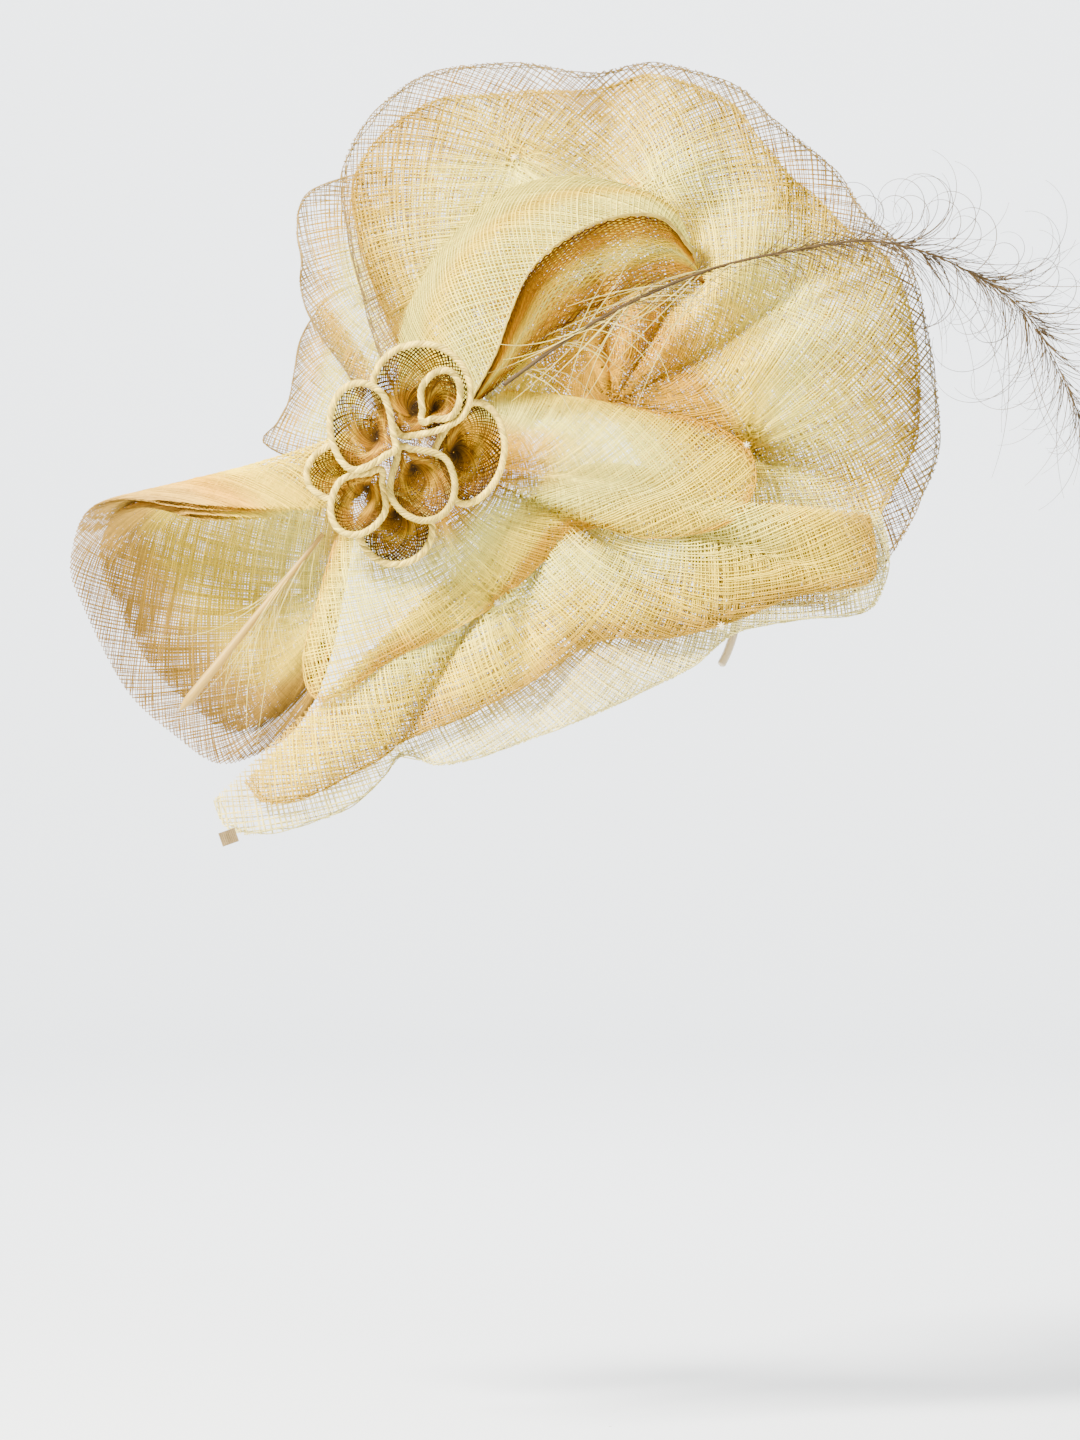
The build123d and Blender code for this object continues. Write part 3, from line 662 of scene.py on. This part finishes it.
# ---- swirl
SWIRL_LEFT = [
    (-119, 112, 6), (-119, 156, 6), (-113, 176, 6), (-102, 196, 6), (-88, 212, 6),
    (-68, 230, 6), (-38, 240, 6), (-7, 240, 6), (21, 231, 6),
]
SWIRL_CREST = [
    (-98, 116, 44), (-98, 156, 52), (-88, 180, 54), (-72, 201, 52), (-50, 217, 47),
    (-24, 227, 42), (2, 230, 35), (24, 227, 28), (38, 218, 21),
]
SWIRL_FOLD = [
    (-79, 108, 46), (-65, 134, 56), (-58, 154, 58), (-47, 180, 57), (-30, 198, 52),
    (-7, 211, 46), (16, 216, 39), (32, 212, 31), (46, 196, 17),
]
SWIRL_HOLLOW = [
    (-75, 110, 26), (-52, 130, 17), (-36, 146, 16), (-20, 158, 16), (-3, 168, 15),
    (16, 176, 15), (34, 180, 14), (48, 180, 11), (58, 176, 6),
]


def guided(guides):
    """A surface through guide curves, first to last, each (x, z, forward)."""
    lines = [Line(g) for g in guides]

    def surface(u, s):
        u, s = both(u, s)
        rows = np.stack([line.at(u) for line in lines])
        spans = len(lines) - 1
        x = np.clip(s, 0, 1) * spans
        k = np.minimum(x.astype(int), spans - 1)
        f = (x - k)[..., None]
        take = lambda i: np.take_along_axis(rows, np.clip(i, 0, spans)[None, ..., None], 0)[0]
        a, b, c, d = take(k - 1), take(k), take(k + 1), take(k + 2)
        p = spline(a, b, c, d, f)
        return fields(p[..., 0], p[..., 1], p[..., 2])

    return surface


def mid_size(surface):
    u = np.linspace(0, 1, 50)
    length = np.linalg.norm(np.diff(surface(u, 0 * u + 0.5), axis=0), axis=1).sum()
    depth = np.linalg.norm(np.diff(surface(0 * u + 0.5, u), axis=0), axis=1).sum()
    return float(length), float(depth)


outer = guided([SWIRL_LEFT, SWIRL_CREST, SWIRL_FOLD])
LIP_LINE = [(x, z - 1, f - 2.5) for x, z, f in SWIRL_FOLD]
WALL = [((a[0] + b[0]) / 2 - 2, (a[1] + b[1]) / 2, (a[2] + b[2]) / 2 - 8)
        for a, b in zip(LIP_LINE, SWIRL_HOLLOW)]
inner = guided([LIP_LINE, WALL, SWIRL_HOLLOW])
for name, surface, mat, options in (
    ("swirl_outer", outer, SWIRL_CLOTH, dict(pitch=2.0, side=0.5, step=4.5, slant=0.9)),
    ("swirl_inner", inner, HOLLOW_SHADE_CLOTH, dict(pitch=1.7, side=0.5, step=4.5, slant=3.5)),
):
    length, depth = mid_size(surface)
    tubes = Tubes()
    for shift in (0.0, 2.2):
        def layer(u, s, shift=shift, surface=surface):
            p = surface(u, s)
            return p + np.array([0.15 * shift, shift, 0.0])
        lattice(layer, length, depth, folded=False, tubes=tubes, **options)
    obj = tubes.build(name + "_cloth")
    finish_piece(obj, mat, [name])

# the swirl's folded edge
u = np.linspace(0, 1, 160)
ridge = outer(u, 0 * u + 1)
tubes = Tubes()
for off in np.linspace(-1.2, 1.2, 5):
    wave = np.stack([off * 0.4 + 0.25 * np.sin(u * 90 + off * 5), -0.4 * np.cos(off) + 0 * u,
                     off * 0.5 + 0 * u], axis=-1)
    tubes.add(ridge + wave, facing(160), 0.38)
finish_tubes(tubes, "swirl_fold_edge", EDGE_CORD, [])

# ---- trumpet
MOUTH = [
    (-163, -82, -52), (-178, -79, -74), (-199, -75, -87), (-221, -68, -91), (-243, -58, -77),
    (-268, -45, -56), (-284, -36, -32),
    (-298, -32, -3), (-305, -34, 16), (-302, -42, 36), (-294, -56, 50), (-277, -78, 56),
    (-252, -102, 54),
]
MOUTH_MIDDLE = np.array([-255.0, -90.0, -15.0])
NECK = np.array([-145.0, -96.0, 62.0])
NECK_DEEP, NECK_TALL, NECK_FROM, NECK_TO = 20.0, 30.0, -90.0, 205.0
BELLY = 8.0


def trumpet(set_back, inside, wave):
    mouth = Line(MOUTH)

    def surface(u, s):
        u, s = both(u, s)
        a = np.radians(NECK_FROM + (NECK_TO - NECK_FROM) * u)
        zero = np.zeros_like(a)
        neck = NECK + np.stack([zero, NECK_DEEP * np.cos(a), NECK_TALL * np.sin(a)], axis=-1)
        rim = mouth.at(u)
        length = np.linalg.norm(rim - neck, axis=-1)
        share = set_back / length + (1 - set_back / length) * s
        p = rim + (neck - rim) * share[..., None]
        flutter = wave * np.sin(u * 38 + 0.6) * (1 - share) * np.clip(share * 5, 0, 1)
        out = BELLY * np.sin(pi * share) + flutter
        p = p + np.stack([zero, out * np.cos(a), out * np.sin(a)], axis=-1)
        middle = MOUTH_MIDDLE + (NECK - MOUTH_MIDDLE) * share[..., None]
        return p + unit(middle - p) * inside

    return surface


for name, surface, mat, options in (
    ("trumpet_outer", trumpet(0.0, 0.0, 1.5), TRUMPET_CLOTH,
     dict(pitch=2.0, side=0.5, gap=1.4, step=5.5)),
    ("trumpet_inner", trumpet(SET_BACK, 6.0, 1.0), LINING_CLOTH,
     dict(pitch=1.7, side=0.5, gap=1.4, step=5.0)),
):
    u = np.linspace(0, 1, 60)
    length = float(np.linalg.norm(np.diff(surface(u, 0 * u), axis=0), axis=1).sum())
    depth = float(np.linalg.norm(surface(u, 0 * u) - surface(u, 0 * u + 1), axis=-1).mean())
    obj = lattice(surface, length, depth, **options).build(name + "_cloth")
    finish_piece(obj, mat, [name])

# ---- flower
FLOWER_BACK = -121.0
PETAL_DEPTH, EDGE_R = 9.0, 1.9
PETAL_STEP = PETAL_DEPTH + 2 * EDGE_R + 0.6
PETALS = [
    (-105, 112, 27, 26, 0, 1), (-95, 108, 11, 16, -20, 1.15), (-136, 91, 18, 25, 8, 2),
    (-149, 69, 19, 15, 14, 0.1), (-138, 53, 15, 20, -28, 1), (-105, 63, 18, 22, 20, 1.2),
    (-119, 38, 20, 20, 10, 0.1), (-79, 79, 19, 28, -12, 0),
]
CENTRE = np.array([-117.0, 82.0])
for number, (px, pz, wide, tall, turn, row) in enumerate(PETALS, 1):
    a = radians(turn)
    axis_x, axis_z = np.array([cos(a), 0, sin(a)]), np.array([-sin(a), 0, cos(a)])
    rim_y = FLOWER_BACK - row * PETAL_STEP - PETAL_DEPTH - EDGE_R
    middle = np.array([px, rim_y, pz])
    toward = CENTRE - middle[[0, 2]]
    toward = toward / max(np.linalg.norm(toward), 1e-6)

    def loop(t, wide=wide, tall=tall, axis_x=axis_x, axis_z=axis_z, middle=middle, toward=toward):
        """The petal's rim, nipped in where it meets the flower's middle."""
        phi = 2 * pi * t
        local = axis_x * (np.cos(phi) * wide)[..., None] + axis_z * (np.sin(phi) * tall)[..., None]
        flat = np.stack([local[..., 0], local[..., 2]], axis=-1)
        near = np.clip((flat @ toward) / min(wide, tall), 0, 1)
        side = flat - (flat @ toward)[..., None] * toward
        flat = flat - side * (0.6 * near ** 2)[..., None]
        lift = 1.6 * np.cos(2 * phi) + 2.0 * near
        return middle + np.stack([flat[..., 0], lift, flat[..., 1]], axis=-1)

    def cup(u, s, loop=loop, middle=middle, toward=toward, wide=wide, tall=tall):
        """From the rim back and in towards the flower's middle."""
        u, s = both(u, s)
        rim = loop(u)
        low = middle + np.array([
            toward[0] * wide * 0.45, PETAL_DEPTH + EDGE_R - 1.0, toward[1] * tall * 0.45])
        back = low + (rim - middle) * np.array([0.02, 0.0, 0.02])
        belly = np.sin(pi * s / 2)[..., None] ** 0.8
        p = rim + (back - rim) * s[..., None]
        p[..., 1] = rim[..., 1] + (back[..., 1] - rim[..., 1]) * belly[..., 0]
        return p

    t = np.linspace(0, 1, 121)
    ring = loop(t)
    length = float(np.linalg.norm(np.diff(ring, axis=0), axis=1).sum())
    uu, ss = np.meshgrid(np.linspace(0, 1, 40), np.linspace(0, 1, 24), indexing="ij")
    depth = float(np.linalg.norm(np.diff(cup(uu, ss), axis=1), axis=-1).sum(axis=1).mean())
    tubes = Tubes()
    for shift in (0.0, 0.8, 1.6):
        lattice(lambda u, s: cup(u, s) + np.array([0, shift, 0]), length, depth, pitch=1.9, side=0.47,
                folded=False, step=2.2, closed=True, tubes=tubes, thin=())
    obj = tubes.build(f"petal_{number}_cloth")
    finish_piece(obj, PETAL_SHADE_CLOTH, [f"petal_{number}"])

    # rolled edge: strands laid round one another
    tubes = Tubes()
    m = 220
    t = np.linspace(0, 1, m)
    line = loop(t)
    tangent = unit(np.gradient(line, axis=0))
    tangent[0] = tangent[-1] = unit(tangent[0] + tangent[-1])
    out = unit(np.cross(tangent, AWAY))
    forward = np.cross(out, tangent)
    turns = round(length / 10)
    strands = 5
    for strand in range(strands):
        phase = 2 * pi * (turns * t + strand / strands)
        r = EDGE_R * 0.6 * (1 + 0.12 * np.sin(t * 61 + strand))
        path = line + out * (np.cos(phase) * r)[:, None] + forward * (np.sin(phase) * r)[:, None]
        face = out * np.cos(phase)[:, None] + forward * np.sin(phase)[:, None]
        tubes.add(path, face, EDGE_R * 0.46, sides=6)
    finish_tubes(tubes, f"petal_edge_{number}_cord", EDGE_CORD, [f"petal_edge_{number}"])

# backing, drawn in towards its root, which ends short of the frill, and knot
BACKING_R, ROOT_DEEP, BACKING_DEPTH = 26, 21.0, 33


def backing(u, s):
    u, s = both(u, s)
    r = BACKING_R * (1 - s) + 0.5
    a = 2 * pi * u
    back = FLOWER_BACK + 3.4 + ROOT_DEEP * s ** 1.5
    return np.stack([-117 + r * np.cos(a), back, 81 + r * np.sin(a)], axis=-1)


weave = dict(side=0.45, folded=False, step=3, closed=True)
tubes = lattice(backing, 2 * pi * BACKING_R, BACKING_DEPTH, pitch=2.5, **weave)
lattice(lambda u, s: backing(u, s) + np.array([0.6, 1.0, 0.4]), 2 * pi * BACKING_R, BACKING_DEPTH,
        pitch=2.4, tubes=tubes, **weave)
# the backing takes the petal cloth, darkened as painted shade
obj = finish_tubes(tubes, "flower_backing_cloth", PETAL_SHADE_CLOTH, ["flower_backing"])


def wound_ball(centre, radius, turns, thread_r, name, mat, node):
    """A knot of thread wound over itself."""
    tubes = Tubes()
    t = np.linspace(0, 1, turns * 26)
    a, b = 2 * pi * turns * t, 2 * pi * turns * 0.381 * t
    p = np.stack([np.cos(a) * np.cos(b), np.cos(a) * np.sin(b), np.sin(a)], axis=-1)
    tubes.add(np.asarray(centre) + p * (radius - thread_r), p, thread_r, sides=4)
    finish_tubes(tubes, name, mat, node)


KNOT = (-118, FLOWER_BACK - PETAL_STEP - 4, 83)
wound_ball(KNOT, 3.2, 22, 0.45, "flower_knot_thread", THREAD, ["flower_knot"])

# ---- feather
SPINE = [
    (-60, -106, 118), (-8, -88, 155), (50, -68, 183), (105, -54, 197), (148, -48, 202),
    (192, -44, 190), (236, -36, 160), (266, -28, 104),
]
spine = Line(SPINE)
n = 200
t = np.linspace(0, 1, n)
tubes = Tubes()
tubes.add(spine.at(t), facing(n), 1.25 - 1.0 * t ** 1.1, sides=6)
finish_tubes(tubes, "feather_stem", FEATHER, ["feather_spine"], "feather")


TIP_REACH = 300.0


def hairs(count, start, end, reach, curl, droop, radius, tubes, line, side_bias, lean_in, segs):
    """Loose barbs that leave the stem to both sides and curl."""
    for _ in range(count):
        at = RNG.uniform(start, end)
        root = line.at(np.array([at]))[0]
        near = line.at(np.array([max(at - 0.01, 0.0), min(at + 0.01, 1.0)]))
        ahead = near[1] - near[0]
        way = ahead / max(np.linalg.norm(ahead), 1e-6)
        across = np.cross(way, [0, 1.0, 0])
        across = across / np.linalg.norm(across)
        side = 1 if RNG.random() < 0.5 + side_bias else -1
        length = RNG.uniform(*reach)
        angle = RNG.normal(lean_in, 0.25)
        bend = RNG.normal(curl, abs(curl) * 0.7 + 0.3) * side
        depth = RNG.normal(0, 0.3)
        q = np.linspace(0, 1, segs)
        heading = side * angle + bend * q ** 1.5
        dx = (np.cos(heading)[:, None] * way + np.sin(heading)[:, None] * across)
        dx = dx + AWAY * depth * 0.5
        dx[:, 2] -= droop * q
        p = root + np.cumsum(dx, axis=0) * length / segs
        over = max(p[:, 0].max() - TIP_REACH, 0.0)
        p[:, 0] -= over * q ** 1.3
        tubes.add(p, facing(segs), radius * (1 - 0.7 * q))


tubes = Tubes()
hairs(250, 0.42, 1.0, (16, 42), 0.7, 0.15, 0.27, tubes, spine, -0.05, 0.24, 14)
hairs(56, 0.56, 0.86, (60, 104), 2.3, 0.08, 0.36, tubes, spine, 0.2, 0.45, 28)
hairs(60, 0.7, 0.99, (30, 66), 1.7, 0.3, 0.32, tubes, spine, -0.12, 0.4, 20)
hairs(70, 0.12, 0.55, (20, 50), 0.5, 0.2, 0.2, tubes, spine, -0.2, 0.25, 14)
finish_tubes(tubes, "feather_barb_hairs", FEATHER, ["feather_barbs"], "feather")

tubes = Tubes()
hairs(16, 0.0, 0.3, (30, 60), 0.5, 0.4, 0.36, tubes, spine, -0.3, 0.5, 20)
hairs(26, 0.12, 0.46, (40, 100), 0.22, 0.42, 0.42, tubes, spine, -0.5, 2.92, 24)
finish_tubes(tubes, "feather_loose_strands", STRAND, [], "feather")

# ---- quill
QUILL_FROM, QUILL_TO = np.array([-160.0, -100, 36]), np.array([-239.0, -104, -62])
tubes = Tubes()
t = np.linspace(0, 1, 60)
path = QUILL_FROM + (QUILL_TO - QUILL_FROM) * t[:, None]
radius = 1.2 + 1.7 * t ** 0.8
radius[-4:] *= [0.9, 0.7, 0.45, 0.08]
tubes.add(path, facing(60), radius, sides=10)
finish_tubes(tubes, "quill_shaft", QUILL, ["quill"])

quill_line = Line([tuple(QUILL_FROM), tuple((QUILL_FROM + QUILL_TO) / 2 + [0, 2, 0]), tuple(QUILL_TO)])
tubes = Tubes()
hairs(26, 0.0, 0.4, (36, 92), 0.35, 0.22, 0.3, tubes, quill_line, 0.2, 0.1, 20)
finish_tubes(tubes, "quill_loose_strands", STRAND, ["quill_strands"])

# ---- headband
UP = np.array([sin(HEAD_LEAN), 0, cos(HEAD_LEAN)])
SIDE = np.array([cos(HEAD_LEAN), 0, -sin(HEAD_LEAN)])


def on_head(radius, degrees_, y):
    a = np.radians(degrees_)
    return SIDE * (radius * np.sin(a))[..., None] + UP * (radius * np.cos(a))[..., None] + \
        AWAY * np.asarray(y)[..., None]


def satin_band(name, sign):
    """Half of the band as one padded satin sleeve, with slight puckers."""
    n, m = 260, 28
    angle = np.linspace(0.0, LEG_END, n)[:, None]
    phi = np.linspace(0, 2 * pi, m, endpoint=False)[None, :]
    end = np.sqrt(np.clip(1 - np.clip((angle - LEG_END + 1.5) / 1.5, 0, 1) ** 2, 0.02, 1))
    power = 0.55
    cy, cr = np.cos(phi), np.sin(phi)
    y = np.sign(cy) * np.abs(cy) ** power * (BAND_WIDTH / 2) * end
    pucker = 0.10 * np.sin(angle * 3.1 + np.cos(phi) * 2) * np.abs(np.cos(phi))
    r = BAND_R + BAND_THICK / 2 + (np.sign(cr) * np.abs(cr) ** power * (BAND_THICK / 2 - 0.12) + pucker) * end
    points = on_head(r + 0 * angle, sign * angle + 0 * phi, y + 0 * angle)
    index = np.arange(n * m).reshape(n, m)
    quads = ring_quads(index, 1).reshape(-1, 4)
    if sign > 0:
        quads = quads[:, ::-1]
    cap = index[-1]
    ends = [[cap[i], cap[i + 1], cap[m - 2 - i], cap[m - 1 - i]] for i in range(m // 2 - 1)]
    quads = np.concatenate([quads, np.array(ends)])
    return make_mesh(name, points.reshape(-1, 3), quads)


HINGE = 60.175
for side, sign in (("left", -1), ("right", 1)):
    obj = satin_band(f"satin_{side}", sign)
    obj.data.materials.append(SATIN)
    zero = np.zeros(1)
    start = on_head(zero + BAND_R, zero + sign * (HINGE - 4), zero)[0]
    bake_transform(obj)
    nodes = [f"{side}_leg_cover", f"{side}_leg_tip"] + (["band_cover"] if side == "left" else [])
    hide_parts(*nodes)
for node in ("band_core", "left_leg_core", "right_leg_core"):
    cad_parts[node].data.materials.clear()
    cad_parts[node].data.materials.append(STEEL)

# ---- domed base
def straight_dome(tubes, shift, turn, pitch, side):
    """Threads that run straight over the dome, one way, as in a blocked cloth."""
    r = CAP_R + CAP_THICK / 2 + shift
    edge = r * sin(radians(CAP_HALF))
    for way in (0, 1):
        for x in np.arange(-edge, edge, pitch):
            half = sqrt(max(edge * edge - x * x, 1.0))
            y = np.linspace(-half, half, max(4, int(half / 3.2)))
            a, b = (x + 0 * y, y) if way == 0 else (y, x + 0 * y)
            c, d = cos(turn), sin(turn)
            px, py = a * c - b * d, a * d + b * c
            h = np.sqrt(np.maximum(r * r - px * px - py * py, 1.0))
            p = px[:, None] * SIDE + py[:, None] * AWAY + h[:, None] * UP
            tubes.add(p, unit(p), side / sqrt(3))


tubes = Tubes()
straight_dome(tubes, 0.5, radians(45), 2.1, 0.5)
straight_dome(tubes, -0.5, radians(20), 2.1, 0.5)
obj = finish_tubes(tubes, "base_cap_cloth", BASE_CLOTH, ["base_cap"])

BIND_ANGLE = radians(CAP_HALF) + 1.6 / CAP_R
n = 360
a = np.linspace(0, 2 * pi, n)
tubes = Tubes()
r0 = CAP_R + CAP_THICK / 2
circle = (r0 * cos(BIND_ANGLE)) * UP + (r0 * sin(BIND_ANGLE) * np.cos(a))[:, None] * SIDE + \
    (r0 * sin(BIND_ANGLE) * np.sin(a))[:, None] * AWAY
tubes.add(circle, unit(circle), 1.45 + 0.12 * np.sin(a * 90), sides=10)
finish_tubes(tubes, "base_binding_tape", BINDING_AND_TAB_SHADE, ["base_binding"])

# ---- edging end, a folded-under sinamay tab whose dark grey-brown is painted shade; stitches
TAB = np.array([-210.0, lean(-131.0) - 18, -131.0])
tubes = Tubes()
for row in np.linspace(-4.2, 4.2, 9):
    q = np.linspace(-3.9, 3.9, 10)
    p = TAB + q[:, None] * np.array([0.33, 0, -0.94]) + row * np.array([0.94, 0, 0.33]) + \
        np.array([0, 0.5, 0]) * np.sin(row)
    tubes.add(p, facing(10), 0.58, sides=5)
# the tab's grey-brown stands for sinamay lying in shade: painted shade
finish_tubes(tubes, "edging_end_shade_ribs", BINDING_AND_TAB_SHADE, ["edging_end"])

tubes = Tubes()
for angle in (-30, -18, -6, 6, 18, 30):
    for twist in (-0.7, 0.7):
        q = np.linspace(0, 2 * pi, 30)
        rr = BAND_R + BAND_THICK / 2 + np.cos(q) * (BAND_THICK / 2 + 0.45)
        yy = np.sin(q) * (BAND_WIDTH / 2 + 0.3)
        p = on_head(rr, angle + twist * np.sin(q) * 0.8, yy)
        tubes.add(p, unit(p) * np.cos(q)[:, None] + AWAY * np.sin(q)[:, None], 0.32, sides=4)
finish_tubes(tubes, "band_stitch_threads", THREAD, ["band_stitches"])

tubes = Tubes()
fan_under = FRILLS["fan_under"][0]
for turn, place in zip((5, 15, 25, 35, 45), (0.99, 0.98, 0.97, 0.96, 0.95)):
    ang = BIND_ANGLE
    reach_, height = (CAP_R + 1.2) * sin(ang), (CAP_R + 1.2) * cos(ang)
    start = UP * height + SIDE * (reach_ * sin(radians(turn)))
    start = start + np.array([0, -reach_ * cos(radians(turn)), 0])
    stop = fan_under(np.array([place]), np.array([0.4]))[0]
    for k in (-1, 1):
        q = np.linspace(0, 1, 12)
        p = start + (stop - start) * q[:, None] + np.array([k * 0.8, 0, 0]) * np.sin(pi * q)[:, None]
        tubes.add(p, facing(12), 0.35, sides=4)
finish_tubes(tubes, "base_stitch_threads", THREAD, ["base_stitches"])

tubes = Tubes()
spots = [("fan_top", -54, 252), ("fan_top", 21, 230), ("fan_top", 76, 88), ("brim_top", -63, -3),
         ("brim_top", 60, -15), ("brim_top", -116, -85), ("front_frill", 76, 86)]
for which, x, z in spots:
    f = FRILLS[which][0]
    uu, ss = np.meshgrid(np.linspace(0, 1, 200), np.linspace(0, 1, 60))
    grid = f(uu, ss)
    d = (grid[..., 0] - x) ** 2 + (grid[..., 2] - z) ** 2
    spot = grid[np.unravel_index(np.argmin(d), d.shape)]
    for k in range(4):
        q = np.linspace(0, 2 * pi, 18)
        c, s_ = cos(k * 0.8), sin(k * 0.8)
        p = spot + np.array([0, -1.6, 0]) + 2.2 * np.cos(q)[:, None] * np.array([c, 0, s_]) + \
            1.0 * np.sin(q)[:, None] * AWAY
        tubes.add(p, unit(p - spot), 0.3, sides=4)
finish_tubes(tubes, "tuck_stitch_threads", THREAD, ["tuck_stitches"])

# ---- floor, light and camera
FLAT_R, FLOOR_DOWN = 3.8, 0.47


def studio_bowl():
    """A round floor that turns up into a wall on every side, wide enough to hold the camera."""
    bend = np.linspace(0, pi / 2, 14)
    r = np.concatenate([np.linspace(0.001, FLAT_R, 10), FLAT_R + np.sin(bend[1:]), np.full(4, FLAT_R + 1)])
    z = np.concatenate([np.zeros(10), 1.0 - np.cos(bend[1:]), np.linspace(1.2, 2.4, 4)]) - FLOOR_DOWN
    a = np.linspace(0, 2 * pi, 64, endpoint=False)
    grid = np.stack([r[:, None] * np.cos(a), r[:, None] * np.sin(a), z[:, None] + 0 * a], axis=-1)
    index = np.arange(len(r) * len(a)).reshape(len(r), len(a))
    quads = ring_quads(index, 1).reshape(-1, 4)
    obj = make_mesh("studio_floor", grid.reshape(-1, 3) / MM, quads)
    mat, _, bsdf = new_material("studio_floor", 0.9)
    bsdf.inputs["Base Color"].default_value = (0.91, 0.94, 0.97, 1)
    obj.data.materials.append(mat)


studio_bowl()


def soft_light(name, at, aim, size, watts, colour=(1, 1, 1)):
    data = bpy.data.lights.new(name, "AREA")
    data.shape = "SQUARE"
    data.size = size
    data.energy = watts
    data.color = colour
    obj = bpy.data.objects.new(name, data)
    bpy.context.scene.collection.objects.link(obj)
    obj.location = at
    obj.rotation_mode = "QUATERNION"
    obj.rotation_quaternion = (Vector(aim) - Vector(at)).to_track_quat("-Z", "Y")


MIDDLE = (-0.02, -0.08, 0.06)
soft_light("key", (-1.1, -1.1, 1.5), MIDDLE, 0.5, 250, (1.0, 0.97, 0.9))
soft_light("wall", (0.0, 1.9, 2.3), (0.0, 4.8, 0.0), 2.4, 250)
soft_light("fill", (1.6, -1.5, 0.4), MIDDLE, 1.4, 16)
soft_light("back", (0.3, 1.2, 1.2), MIDDLE, 1.0, 24)
world = bpy.data.worlds.new("studio")
bpy.context.scene.world = world
world.use_nodes = True
world.node_tree.nodes["Background"].inputs["Color"].default_value = (1.0, 0.98, 0.95, 1)
world.node_tree.nodes["Background"].inputs["Strength"].default_value = 0.72

CAM_BACK, VIEW_WIDTH, SENSOR = 3.2, 0.8064, 36.0
cam_data = bpy.data.cameras.new("camera")
cam_data.sensor_width = SENSOR
cam_data.lens = SENSOR * CAM_BACK / VIEW_WIDTH
cam_data.clip_end = 30
cam = bpy.data.objects.new("camera", cam_data)
bpy.context.scene.collection.objects.link(cam)
cam.location = (-0.040, -0.060 - CAM_BACK, -0.067)
cam.rotation_euler = (pi / 2, 0, 0)
bpy.context.scene.camera = cam
